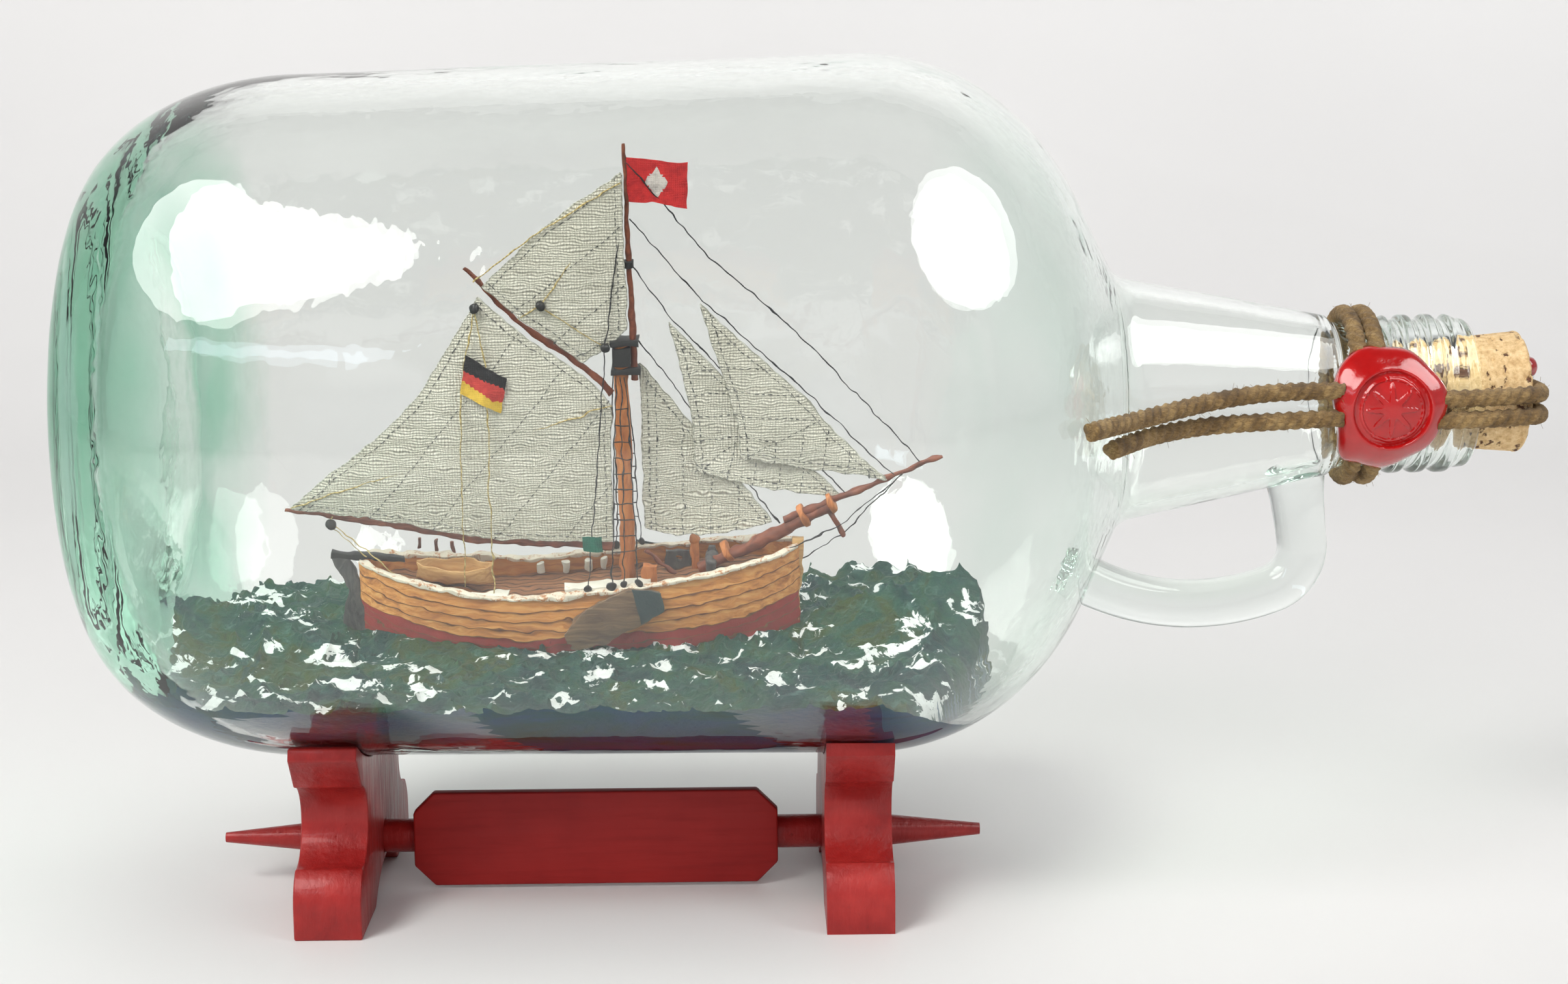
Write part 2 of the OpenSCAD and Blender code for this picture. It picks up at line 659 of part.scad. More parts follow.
module ensign_halyards() {
    color(yellow_line)
        on_ship() {
            line([[-35.4, -2.6, 88], [-37.8, -2.9, 76.2], [-40, -2.9, 66.2], [-40.6, -7, 14.6]]);
            line([[-35.4, -2.6, 88], [-33.4, -2.9, 74], [-33.6, -7, 13]]);
        }
}
module mainsheet() {
    color(yellow_line)
        on_ship() {
            line([[-74.2, -1.6, 29.4], [-66, -1.5, 20.6]]);
            line([[-73.4, -2, 30.2], [-56, -6, 16]]);
            line([[-74.6, -1.5, 31], [-74, -0.6, 32]]);
        }
}
module bobstays() {
    color(black_line)
        on_ship() {
            line([[70.4, 0, 41.6], [55.6, 0, 25.2], [44.6, 0, 18]]);
            line([[70.4, -0.6, 41.6], [54.4, -1, 28], [38.6, -4, 21.8]]);
        }
}
module blocks() {
    color([0.06, 0.06, 0.07])
        on_ship() for (b = [[-19.4, -2.4, 88.5, 1.3], [-3.7, -2.8, 77.9, 1.2], [-35.4, -2.6, 88, 1.2],
            [-74.5, -1.8, 30.2, 1.4]])
            translate([b[0], b[1], b[2]]) sphere(b[3], $fn = 32);
}
module deadeyes() {
    color([0.1, 0.09, 0.08])
        on_ship() for (s = [-1, 1], x = concat(shroud_x, s < 0 ? [-9.7] : [-6.3]))
            translate([x, s * rail_y, sheer(x) + 1.9]) rotate([90, 0, 0])
                translate([0, 0, -0.4]) cylinder(h = 0.8, r = 0.95, $fn = 24);
}
module belaying_pins() {
    color([0.4, 0.22, 0.12])
        on_ship() for (x = [-54:4.4:-41])
            translate([x, 11.6, sheer(x) + 0.5]) cylinder(h = 3.4, r = 0.5, $fn = 24);
}

cradle_left();
cradle_right();
stand_rod();
name_board();
bottle();
cork();
neck_cord();
cork_cord();
cord_tail_upper();
cord_tail_lower();
wax_seal();
wax_dab();
sea();
hull();
deck();
rail_cap();
stem_post();
rudder();
tiller();
leeboard_near();
leeboard_far();
hatch_house();
aft_box();
dinghy();
folded_sail();
fenders();
tabernacle();
windlass();
bow_bitt();
windlass_bar();
hawse_panel();
lower_mast();
topmast();
mast_cap();
boom();
gaff();
bowsprit();
jib_boom();
bowsprit_bands();
dolphin_striker();
mainsail();
topsail();
fore_staysail();
jib();
flying_jib();
masthead_flag();
ensign();
green_pennant();
shrouds_near();
shrouds_far();
fore_stays();
backstays();
running_rigging();
ensign_halyards();
mainsheet();
bobstays();
blocks();
deadeyes();
belaying_pins();
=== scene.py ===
"""The looks of a ship in a bottle: a small sailing barge on a putty sea, in a corked jug on a painted stand.

The bottle and the ship each have a frame of their own in millimetres, as in the CAD. BOTTLE and SHIP turn
those into the row frame, which is in metres.
"""

import random
from math import asin, atan, atan2, ceil, cos, degrees, exp, hypot, pi, radians, sin, sqrt, tan

import bmesh
import bpy
from mathutils import Matrix, Vector, geometry, noise


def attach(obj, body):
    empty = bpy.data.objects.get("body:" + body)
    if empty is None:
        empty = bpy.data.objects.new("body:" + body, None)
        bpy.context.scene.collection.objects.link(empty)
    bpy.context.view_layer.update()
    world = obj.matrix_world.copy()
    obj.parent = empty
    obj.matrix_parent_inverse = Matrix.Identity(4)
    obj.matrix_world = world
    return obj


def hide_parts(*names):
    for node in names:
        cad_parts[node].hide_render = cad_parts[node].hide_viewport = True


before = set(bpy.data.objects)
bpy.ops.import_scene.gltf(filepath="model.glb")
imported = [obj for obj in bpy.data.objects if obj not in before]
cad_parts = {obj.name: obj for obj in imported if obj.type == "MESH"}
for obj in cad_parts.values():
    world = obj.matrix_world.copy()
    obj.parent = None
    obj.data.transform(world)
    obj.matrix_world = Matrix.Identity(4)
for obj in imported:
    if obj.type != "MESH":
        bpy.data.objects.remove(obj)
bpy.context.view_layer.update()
MM = 0.001


# ---- frames and dimensions, as in the CAD

FRAME_X, FRAME_Z, TILT = -175.45, 124.1, 0.65
BODY_R, BODY_TAPER = 89, 3.4
SHOULDER_X = 185
BASE_OUT = 7.9
MOUTH_X = 340.5
WALL, BASE_WALL = 3, 9
HANDLE_R = 6.3
BORE_R = 14.6
HEEL_RX, HEEL_RY = 54, 35
SHOULDER_R1, SHOULDER_A1 = 58, 44
SHOULDER_R2, SHOULDER_A2 = 70, 62
FILLET_R = 8
NECK_X0, NECK_R0 = 253.9, 30.8
NECK_X1, NECK_R1 = 303.5, 20.9
THROAT_X, THROAT_R = 306.8, 18.8
PUNT_R, PUNT_DEPTH = 50, 9
FINISH_X = 317
RIDGE_PITCH = 6
RIDGE_R, ROOT_R = 20.4, 19.1
CORK_OUT, CORK_IN, CORK_R = 13.9, 22, 15.7
TWINE_R = 2.2
HEEL_ANGLE = 14
SHIP_X, SHIP_Z = -50.45, 69


def placed(x, z, turn, axis):
    """The matrix from a frame at (x, 0, z) in millimetres, turned in degrees about an axis, to metres."""
    moved = Matrix.Translation((x * MM, 0, z * MM))
    return moved @ Matrix.Rotation(radians(turn), 4, axis) @ Matrix.Scale(MM, 4)


BOTTLE = placed(FRAME_X, FRAME_Z, -TILT, "Y")
SHIP = placed(SHIP_X, SHIP_Z, HEEL_ANGLE, "X")
ROW = Matrix.Scale(MM, 4)


def linked(name, data):
    """A new object in the scene."""
    obj = bpy.data.objects.new(name, data)
    bpy.context.scene.collection.objects.link(obj)
    return obj


def smooth_through(points, steps):
    """Points on a smooth curve through given ones."""
    p = [Vector(q) for q in points]
    out = []
    for i in range(len(p) - 1):
        a, b, c, d = p[max(i - 1, 0)], p[i], p[i + 1], p[min(i + 2, len(p) - 1)]
        for k in range(steps):
            t = k / steps
            p1, p2 = b + (c - a) / 6, c - (d - b) / 6
            out.append(b * (1 - t) ** 3 + p1 * 3 * t * (1 - t) ** 2 + p2 * 3 * t * t * (1 - t) + c * t**3)
    return out + [p[-1]]


# ---- camera


def make_camera(place, pitch, yaw, roll, lens):
    pitch, yaw, roll = (radians(a) for a in (pitch, yaw, roll))
    ahead = Vector((sin(yaw) * cos(pitch), cos(yaw) * cos(pitch), -sin(pitch)))
    right = Vector((cos(yaw), -sin(yaw), 0))
    up = right.cross(ahead)
    side = right * cos(roll) - up * sin(roll)
    top = up * cos(roll) + right * sin(roll)
    data = bpy.data.cameras.new("camera")
    data.lens = lens
    data.sensor_width = 36
    data.clip_start = 0.01
    data.dof.use_dof = False
    camera = linked("camera", data)
    camera.matrix_world = Matrix.Translation(place) @ Matrix((side, top, -ahead)).transposed().to_4x4()
    bpy.context.scene.camera = camera


make_camera(place=(-0.02045, -0.65, 0.2152), pitch=9.74, yaw=0.93, roll=0.4, lens=58.64)


# ---- mesh helpers


def new_object(name, points, faces, materials, place=ROW, kinds=None, sharp=40):
    """A mesh object with its points put in the row frame. materials are names, and kinds is each face's
    number in them."""
    mesh = bpy.data.meshes.new(name)
    mesh.from_pydata([place @ Vector(p) for p in points], [], faces)
    for material in materials:
        mesh.materials.append(MATERIALS[material])
    if kinds:
        mesh.polygons.foreach_set("material_index", kinds)
    shade(mesh, sharp)
    return linked(name, mesh)


def shade(mesh, sharp):
    mesh.polygons.foreach_set("use_smooth", [True] * len(mesh.polygons))
    mesh.update()
    mesh.set_sharp_from_angle(angle=radians(sharp))


def settle(obj, sharp=40):
    """Applies the object's modifiers to its mesh."""
    mesh = bpy.data.meshes.new_from_object(obj.evaluated_get(bpy.context.evaluated_depsgraph_get()))
    obj.modifiers.clear()
    obj.data = mesh
    shade(mesh, sharp)
    return obj


def boolean(obj, tool, operation):
    cut = obj.modifiers.new("cut", "BOOLEAN")
    cut.operation = operation
    cut.solver = "EXACT"
    cut.object = tool
    settle(obj)
    bpy.data.objects.remove(tool)
    return obj


def finished(obj, slot, *nodes, body="bottle"):
    """The piece rides on a body and stands for those nodes. slot is not used."""
    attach(obj, body)
    if nodes:
        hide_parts(*nodes)
    return obj


def ring_faces(rings, sides, closed_ends=True):
    """Faces of a tube whose points come ring by ring."""
    faces = [
        (i * sides + k, i * sides + (k + 1) % sides, (i + 1) * sides + (k + 1) % sides, (i + 1) * sides + k)
        for i in range(rings - 1)
        for k in range(sides)
    ]
    if closed_ends:
        faces.append(tuple(range(sides - 1, -1, -1)))
        faces.append(tuple((rings - 1) * sides + k for k in range(sides)))
    return faces


def tube_points(path, radius, sides, section=None, turn=0):
    """Rings of points along a path. section(angle) scales the radius, and turn is its twist in radians per
    unit of length. radius may be a function of the share of the path's length."""
    path = [Vector(p) for p in path]
    lengths = [0]
    for a, b in zip(path, path[1:]):
        lengths.append(lengths[-1] + (b - a).length)
    points, across = [], Vector((0.05, 1, 0.1))
    for i, p in enumerate(path):
        ahead = (path[min(i + 1, len(path) - 1)] - path[max(i - 1, 0)]).normalized()
        across = (across - ahead * across.dot(ahead)).normalized()
        third = ahead.cross(across)
        r = radius(lengths[i] / lengths[-1]) if callable(radius) else radius
        for k in range(sides):
            a = 2 * pi * k / sides
            s = section(a + turn * lengths[i]) if section else 1
            points.append(p + (across * cos(a) + third * sin(a)) * r * s)
    return points


def tube(name, path, radius, sides, material, place, sharp=40):
    path = list(path)
    points = tube_points(path, radius, sides)
    return new_object(name, points, ring_faces(len(path), sides), [material], place, sharp=sharp)


def even(path, step):
    """The path again, with its points a fixed step apart."""
    path = [Vector(p) for p in path]
    out, left = [path[0]], step
    for a, b in zip(path, path[1:]):
        run = (b - a).length
        while left <= run:
            out.append(a + (b - a) * (left / run))
            left += step
        left -= run
    return out


def arc(centre, r, a0, a1, n):
    """Points from angle a0 to a1 in degrees round centre."""
    angles = [radians(a0 + (a1 - a0) * i / n) for i in range(n + 1)]
    return [(centre[0] + r * cos(a), centre[1] + r * sin(a)) for a in angles]


def lathe(name, outline, segments, materials, place=BOTTLE, wobble=None):
    """A closed solid of revolution about x, from an outline of (x, radius) from axis to axis.
    wobble(x, r, angle) gives the x and the radius at each point."""
    points, faces = [(outline[0][0], 0, 0)], []
    rows = outline[1:-1]
    for x, r in rows:
        for k in range(segments):
            a = 2 * pi * k / segments
            px, pr = wobble(x, r, a) if wobble else (x, r)
            points.append((px, pr * cos(a), pr * sin(a)))
    points.append((outline[-1][0], 0, 0))
    last = len(points) - 1
    for k in range(segments):
        j = (k + 1) % segments
        faces.append((0, 1 + j, 1 + k))
        for i in range(len(rows) - 1):
            a, b = 1 + i * segments, 1 + (i + 1) * segments
            faces.append((a + k, a + j, b + j, b + k))
        end = 1 + (len(rows) - 1) * segments
        faces.append((end + k, end + j, last))
    return new_object(name, points, faces, materials, place)


# ---- material helpers


def linear(colour):
    """A colour as it looks on a screen, from 0 to 255, as the one of four numbers that shaders use."""
    return tuple(c / 255 / 12.92 if c <= 10 else ((c / 255 + 0.055) / 1.055) ** 2.4 for c in colour) + (1,)


MATERIALS = {}


class Look:
    """A material with one Principled shader, kept under its name in MATERIALS, and short ways to add the
    nodes that feed it."""

    def __init__(self, name, **inputs):
        MATERIALS[name] = bpy.data.materials.new(name)
        MATERIALS[name].use_nodes = True
        self.tree = MATERIALS[name].node_tree
        self.shader = self.tree.nodes["Principled BSDF"]
        self.place = self.add("TexCoord").outputs["Object"]
        for key, value in inputs.items():
            self.set(key.replace("_", " "), value)

    def add(self, kind, inputs=(), **settings):
        node = self.tree.nodes.new("ShaderNode" + kind)
        for key, value in settings.items():
            setattr(node, key, value)
        for key, value in dict(inputs).items():
            self.put(node.inputs[key], value)
        return node

    def put(self, socket, value):
        if isinstance(value, bpy.types.NodeSocket):
            self.tree.links.new(value, socket)
        else:
            socket.default_value = value

    def set(self, name, value):
        self.put(self.shader.inputs[name], value)

    def stretched(self, scale, turn=(0, 0, 0)):
        turned = [radians(a) for a in turn]
        return self.add("Mapping", {"Vector": self.place, "Scale": scale, "Rotation": turned}).outputs[0]

    def noise(self, cell, detail=4, rough=0.55, stretch=(1, 1, 1), where=None, twist=0.0):
        """Soft noise with features about cell metres wide, longer where stretch is under 1."""
        inputs = {"Scale": 1 / cell, "Detail": detail, "Roughness": rough, "Distortion": twist}
        inputs["Vector"] = where or self.stretched(stretch)
        return self.add("TexNoise", inputs).outputs[0]

    def bands(self, pitch, direction="X", where=None, twist=0.0):
        """Even waves from 0 to 1 and back once every pitch."""
        inputs = {"Vector": where or self.place, "Scale": 0.314159 / pitch}
        inputs.update({"Distortion": twist, "Detail": 2})
        return self.add("TexWave", inputs, bands_direction=direction).outputs["Fac"]

    def ramp(self, factor, *stops):
        """Colours along a factor, from pairs of a position and a colour as on a screen."""
        node = self.add("ValToRGB", {"Fac": factor})
        ends = node.color_ramp.elements
        while len(ends) < len(stops):
            ends.new(0.5)
        for end, (position, colour) in zip(ends, stops):
            end.position = position
            end.color = linear(colour)
        return node.outputs[0]

    def level(self, factor, low, high, start=0.0, end=1.0):
        """The factor's part from low to high, spread from start to end."""
        inputs = {"Value": factor, "From Min": low, "From Max": high, "To Min": start, "To Max": end}
        return self.add("MapRange", inputs).outputs[0]

    def sum(self, a, b, operation="ADD"):
        return self.add("Math", {0: a, 1: b}, operation=operation).outputs[0]

    def product(self, a, b):
        return self.sum(a, b, "MULTIPLY")

    def mix(self, factor, *ends):
        """A blend of two colours. One of three numbers is as on a screen, and one of four is for shaders."""
        a, b = (linear(c) if isinstance(c, tuple) and len(c) == 3 else c for c in ends)
        return self.add("Mix", {0: factor, 6: a, 7: b}, data_type="RGBA").outputs[2]

    def colour(self, value):
        self.set("Base Color", value)
        return self

    def bump(self, height, depth):
        """height from 0 to 1 stands for depth metres."""
        self.set("Normal", self.add("Bump", {"Height": height, "Distance": depth}).outputs[0])
        return self


# ---- materials


def paint_look():
    look = Look("red_paint", Specular_IOR_Level=0.3, Coat_Weight=0.22, Coat_Roughness=0.12)
    strokes = look.noise(0.0022, 5, 0.6, (1, 1, 0.16))
    patches = look.noise(0.016, 5, 0.65)
    tone = look.ramp(patches, (0.3, (122, 22, 22)), (0.52, (146, 29, 27)), (0.72, (166, 42, 38)))
    worn = look.level(look.noise(0.003, 6, 0.75), 0.64, 0.8, 0, 0.5)
    look.colour(look.mix(worn, tone, (88, 16, 18)))
    look.set("Roughness", look.level(strokes, 0.3, 0.7, 0.32, 0.52))
    look.bump(look.sum(strokes, look.sum(patches, worn)), 0.0004)


def board_look():
    look = Look("board_paint", Specular_IOR_Level=0.3)
    strokes = look.noise(0.0018, 4, 0.5, (0.08, 1, 1))
    tone = look.ramp(look.noise(0.02, 4), (0.3, (136, 24, 23)), (0.7, (152, 31, 28)))
    look.colour(look.mix(look.level(strokes, 0.5, 0.8, 0, 0.35), tone, (102, 17, 20)))
    look.set("Roughness", look.level(strokes, 0.3, 0.7, 0.5, 0.62))
    look.bump(strokes, 0.00015)


def glass_look():
    """Clear glass with a green tint in its thickness, and a deeper green painted on at the base, its rim and
    the shoulder, standing in for light carried a long way through thick glass there. Lamps shine through it
    on what is inside.
    """
    look = Look("jug_glass", Roughness=0.0, IOR=1.5, Transmission_Weight=1.0)
    x = look.add("SeparateXYZ", {"Vector": look.place}).outputs[0]
    patches = look.level(look.noise(0.045, 2, 0.5, (0.6, 1, 1)), 0.4, 0.6, 0.45, 1)
    # Painted light: the deeper green at the base and the shoulder stands in for light carried through thick
    # glass; the glass's own tint there is no deeper.
    base = look.product(look.level(x, -0.155, -0.173), patches)
    shoulder = look.product(look.level(x, 0.03, 0.05), look.level(x, 0.085, 0.06))
    tone = look.mix(base, (0.99, 1.0, 0.99, 1), (0.4, 0.74, 0.57, 1))
    # Painted light: the darkest green along the base's rim stands in for thick glass seen edge-on.
    tone = look.mix(look.level(x, -0.175, -0.182), tone, (0.26, 0.56, 0.42, 1))
    look.colour(look.mix(look.product(shoulder, patches), tone, (0.9, 0.965, 0.93, 1)))
    look.bump(look.noise(0.02, 3, 0.5), 0.00025)
    clear = look.add("BsdfTransparent", {"Color": (0.93, 0.945, 0.93, 1)}).outputs[0]
    shadow = look.add("LightPath").outputs["Is Shadow Ray"]
    out = look.tree.nodes["Material Output"]
    both = look.add("MixShader", {0: shadow, 1: look.shader.outputs[0], 2: clear})
    look.put(out.inputs["Surface"], both.outputs[0])
    tint = look.add("VolumeAbsorption", {"Color": (0.34, 0.72, 0.55, 1), "Density": 7.0})
    look.put(out.inputs["Volume"], tint.outputs[0])


def cork_look():
    look = Look("cork", Roughness=0.85)
    grain = look.noise(0.0016, 6, 0.7)
    tone = look.ramp(grain, (0.3, (186, 144, 92)), (0.5, (224, 190, 138)), (0.7, (242, 214, 166)))
    spots = look.level(look.noise(0.0032, 4, 0.6, (1, 0.5, 0.7)), 0.585, 0.63)
    look.colour(look.mix(spots, tone, (96, 60, 36)))
    look.bump(look.sum(grain, spots, "SUBTRACT"), 0.0005)


def jute_look():
    look = Look("jute", Roughness=0.9, Sheen_Weight=0.1)
    fibre = look.noise(0.0005, 5, 0.7, (0.3, 1, 1), twist=0.8)
    patch = look.noise(0.006, 4)
    tone = look.ramp(look.product(fibre, patch),
                     (0.1, (74, 54, 28)), (0.22, (124, 96, 54)), (0.36, (170, 140, 90)))
    look.colour(tone)
    look.bump(fibre, 0.0005)


def wax_look():
    look = Look("wax", Roughness=0.16, Coat_Weight=0.6, Coat_Roughness=0.05, Subsurface_Weight=0.12)
    look.set("Subsurface Radius", (0.002, 0.0004, 0.0003))
    look.set("Subsurface Scale", 1.0)
    tone = look.noise(0.007, 3)
    look.colour(look.ramp(tone, (0.3, (158, 8, 8)), (0.7, (184, 14, 14))))
    look.bump(look.noise(0.004, 4), 0.0002)


def sea_look():
    """Painted putty: dark green and teal with olive patches, and dabs of white."""
    look = Look("putty_sea", Roughness=0.45, Specular_IOR_Level=0.2)
    wide = look.noise(0.02, 5, 0.62, (1, 1, 1), twist=0.8)
    fine = look.noise(0.0021, 6, 0.72, (0.6, 1, 1), twist=1.2)
    tone = look.ramp(wide, (0.28, (8, 36, 48)), (0.42, (18, 62, 60)), (0.53, (34, 78, 60)),
                     (0.62, (56, 72, 24)), (0.74, (26, 74, 84)))
    tone = look.mix(look.level(fine, 0.54, 0.72, 0, 0.7), tone, (96, 128, 120))
    tone = look.mix(look.level(fine, 0.44, 0.28, 0, 0.8), tone, (8, 20, 24))
    dabs = look.noise(0.0105, 6, 0.62, (0.8, 1, 1), twist=0.5)
    tone = look.mix(look.level(dabs, 0.57, 0.582), tone, (246, 248, 247))
    look.colour(tone)
    look.bump(look.sum(fine, dabs), 0.0012)


def deep_look():
    look = Look("putty_side", Roughness=0.35)
    wide = look.noise(0.016, 5, 0.6, (0.6, 1, 1.6), twist=0.7)
    look.colour(look.ramp(wide, (0.3, (10, 40, 66)), (0.45, (26, 72, 104)), (0.58, (18, 74, 80)),
                          (0.72, (40, 66, 40))))
    look.bump(look.noise(0.002, 5, 0.6), 0.0004)


def wood_look(name, dark, mid, light, along=(0.06, 1, 1)):
    """Wood with its grain drawn out along the axis where along is small."""
    look = Look(name)
    grain = look.noise(0.0012, 6, 0.65, along, twist=0.4)
    patch = look.noise(0.009, 4, 0.6)
    tone = look.ramp(grain, (0.3, dark), (0.5, mid), (0.72, light))
    look.colour(look.mix(look.level(patch, 0.4, 0.75, 0, 0.45), tone, dark))
    look.set("Roughness", look.level(grain, 0.3, 0.7, 0.7, 0.5))
    look.bump(grain, 0.00012)


def plank_deck_look():
    look = Look("deck_wood", Roughness=0.7)
    ship = look.stretched((1, 1, 1), (-HEEL_ANGLE, 0, 0))
    seams = look.level(look.bands(0.0022, "Y", ship), 0.12, 0.0)
    grain = look.noise(0.0008, 5, 0.6, (0.08, 1, 1))
    tone = look.ramp(grain, (0.3, (96, 58, 34)), (0.5, (134, 86, 52)), (0.72, (162, 112, 72)))
    look.colour(look.mix(seams, tone, (38, 22, 14)))
    look.bump(look.sum(grain, seams, "SUBTRACT"), 0.00025)


def worn_look(name, base, worn, amount=0.6, rough=0.7):
    look = Look(name, Roughness=rough)
    chips = look.level(look.noise(0.0016, 6, 0.75), amount, amount + 0.08)
    tone = look.ramp(look.noise(0.004, 4), (0.3, [c * 0.88 for c in base]), (0.7, base))
    look.colour(look.mix(chips, tone, worn))
    look.bump(look.noise(0.0009, 4), 0.00012)


def linen_look():
    """A coarse plain weave laid out on the sail's own flat, with a few thicker threads."""
    look = Look("linen", Roughness=0.9, Sheen_Weight=0.25)
    flat = look.add("UVMap", uv_map="flat").outputs[0]
    warp, weft = (look.bands(0.0007, direction, flat, 0.25) for direction in "XY")
    holes = look.product(warp, weft)
    drawn = look.add("Mapping", {"Vector": flat, "Scale": (0.12, 1, 1)}).outputs[0]
    slub = look.noise(0.0012, 4, 0.6, where=drawn)
    stain = look.noise(0.03, 4, 0.6)
    tone = look.ramp(slub, (0.32, (197, 191, 176)), (0.5, (219, 213, 198)), (0.7, (233, 227, 213)))
    tone = look.mix(look.level(stain, 0.45, 0.75, 0, 0.3), tone, (192, 186, 168))
    look.colour(look.mix(look.level(holes, 0.55, 0.95, 0, 0.4), tone, (160, 157, 146)))
    look.bump(look.sum(look.sum(warp, weft), slub), 0.00022)


def thread_look(name, dark, light):
    look = Look(name, Roughness=0.8)
    twist = look.bands(0.0007, "DIAGONAL")
    look.colour(look.ramp(twist, (0.2, dark), (0.8, light)))
    look.bump(twist, 0.00008)


def cloth_look(name, colour, shade_to):
    look = Look(name, Roughness=0.8)
    flat = look.add("UVMap", uv_map="flat").outputs[0]
    weave = look.product(*(look.bands(0.0005, direction, flat) for direction in "XY"))
    tone = look.ramp(look.noise(0.002, 4), (0.3, shade_to), (0.6, colour))
    look.colour(look.mix(look.level(weave, 0.5, 1, 0, 0.3), tone, shade_to))
    look.bump(weave, 0.00008)


WOODS = {
    "hull_plank": ((158, 92, 42), (212, 140, 70), (234, 176, 106)),
    "hull_seam": ((82, 46, 22), (118, 70, 34), (150, 94, 50)),
    "pale_wood": ((160, 116, 70), (196, 152, 98), (220, 182, 130)),
    "dark_wood": ((48, 46, 46), (72, 70, 70), (98, 94, 90), (1, 1, 0.1)),
    "board_wood": ((70, 52, 40), (108, 84, 62), (140, 112, 84)),
    "tan_wood": ((140, 76, 34), (182, 108, 52), (206, 138, 78), (1, 1, 0.08)),
    "spar_wood": ((70, 32, 18), (112, 54, 32), (142, 78, 48), (0.3, 1, 0.3)),
}
WORN = {
    "hull_bottom": ((160, 42, 34), (98, 28, 24)),
    "worn_rail": ((226, 214, 196), (170, 110, 62), 0.52),
    "white_wood": ((226, 220, 208), (176, 140, 104)),
    "board_tip": ((44, 60, 62), (74, 88, 86)),
    "black_fitting": ((34, 33, 33), (66, 62, 58), 0.62, 0.45),
}
THREADS = {
    "bolt_rope": ((140, 138, 126), (190, 187, 176)),
    "stitching": ((70, 70, 68), (112, 112, 108)),
    "black_thread": ((16, 16, 18), (48, 47, 50)),
    "yellow_thread": ((150, 128, 76), (196, 176, 120)),
}
CLOTHS = {
    "red_flag": ((198, 40, 40), (160, 24, 28)),
    "flag_emblem": ((206, 196, 190), (150, 140, 136)),
    "ensign_black": ((36, 34, 36), (18, 18, 20)),
    "ensign_red": ((206, 66, 58), (176, 44, 42)),
    "ensign_gold": ((232, 192, 72), (204, 160, 50)),
    "green_pennant": ((24, 104, 84), (14, 72, 60)),
}
for make in (paint_look, board_look, glass_look, cork_look, jute_look, wax_look, sea_look, deep_look,
             plank_deck_look, linen_look):
    make()
for make, table in ((wood_look, WOODS), (worn_look, WORN), (thread_look, THREADS), (cloth_look, CLOTHS)):
    for name, values in table.items():
        make(name, *values)


# ---- twine, with its two free tails


def rope(name, path, pitch=9, closed=False):
    """Three strands twisted together, as one tube with a section of three lobes that turns once a pitch."""
    path, sides = even(path, 0.7), 30

    def lobes(a):
        return 0.72 + 0.36 * abs(cos(1.5 * a)) ** 1.1

    points = tube_points(path, TWINE_R, sides, lobes, 2 * pi / pitch)
    faces = ring_faces(len(path), sides, not closed)
    if closed:
        n = len(path) - 1
        faces += [(n * sides + k, n * sides + (k + 1) % sides, (k + 1) % sides, k) for k in range(sides)]
    return new_object(name, points, faces, ["jute"], BOTTLE, sharp=80)


def fuzz(name, paths, seed, spacing=1.1):
    """Short loose fibres that stand off the twine."""
    draw = random.Random(seed)
    points, faces = [], []
    for path in paths:
        path = even(path, spacing)
        for a, b in zip(path, path[1:]):
            ahead = (b - a).normalized()
            out = ahead.cross(Vector([draw.uniform(-1, 1) for _ in range(3)])).normalized()
            lean = (out + ahead * draw.uniform(-1, 1)).normalized()
            root = a + out * TWINE_R * 0.8
            curl = ahead.cross(out) * draw.uniform(-0.5, 0.5)
            length = draw.uniform(0.8, 2.4)
            hair = [root + lean * length * t + curl * t * t for t in (0, 0.5, 1)]
            base = len(points)
            points += tube_points(hair, 0.045, 3)
            faces += [tuple(base + i for i in f) for f in ring_faces(3, 3)]
    return finished(new_object(name, points, faces, ["jute"], BOTTLE, sharp=80), "jute")


UPPER_TAIL = [(304, -23.5, 4.2), (294, -25.8, 4.6), (283, -28.8, 4.6), (272, -32.6, 3.8), (262, -37.6, 2.6),
              (253, -44, 1.6), (246, -51, 1.2), (240.5, -58, 1.2), (236, -64, 1.2)]
LOWER_TAIL = [(304, -23.5, -2.6), (294, -25.4, -2.6), (283, -28, -2.6), (272, -31, -2.6), (262, -35.2, -3),
              (253, -41.8, -3.6), (247, -48.6, -4.2), (242, -55, -4.6)]
TAILS = {"cord_tail_upper": smooth_through(UPPER_TAIL, 8), "cord_tail_lower": smooth_through(LOWER_TAIL, 8)}


def tail(name, path):
    piece = finished(rope(name + "_twine", path), "jute", name)
    line = [BOTTLE @ p for p in path]
    length = sum((b - a).length for a, b in zip(line, line[1:]))
    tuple(line[0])


for name, path in TAILS.items():
    tail(name, path)
fuzz("tail_fuzz", TAILS.values(), 3)


def ring_path(x, lean):
    r = THROAT_R + TWINE_R - 0.1
    angles = [radians(i) for i in range(360)]
    return [(x + lean * sin(a + 1), r * cos(a), r * sin(a)) for a in angles]


def strand_path(z):
    over = MOUTH_X + CORK_OUT + TWINE_R
    half = [(319, -22.8), (330, -22.8), (342, -21.2), (352, -18.4), (355.6, -16), (over, -11), (over, -4)]
    whole = half + [(x, -y) for x, y in reversed(half)]
    return smooth_through([(x, y, z) for x, y in whole], 10)


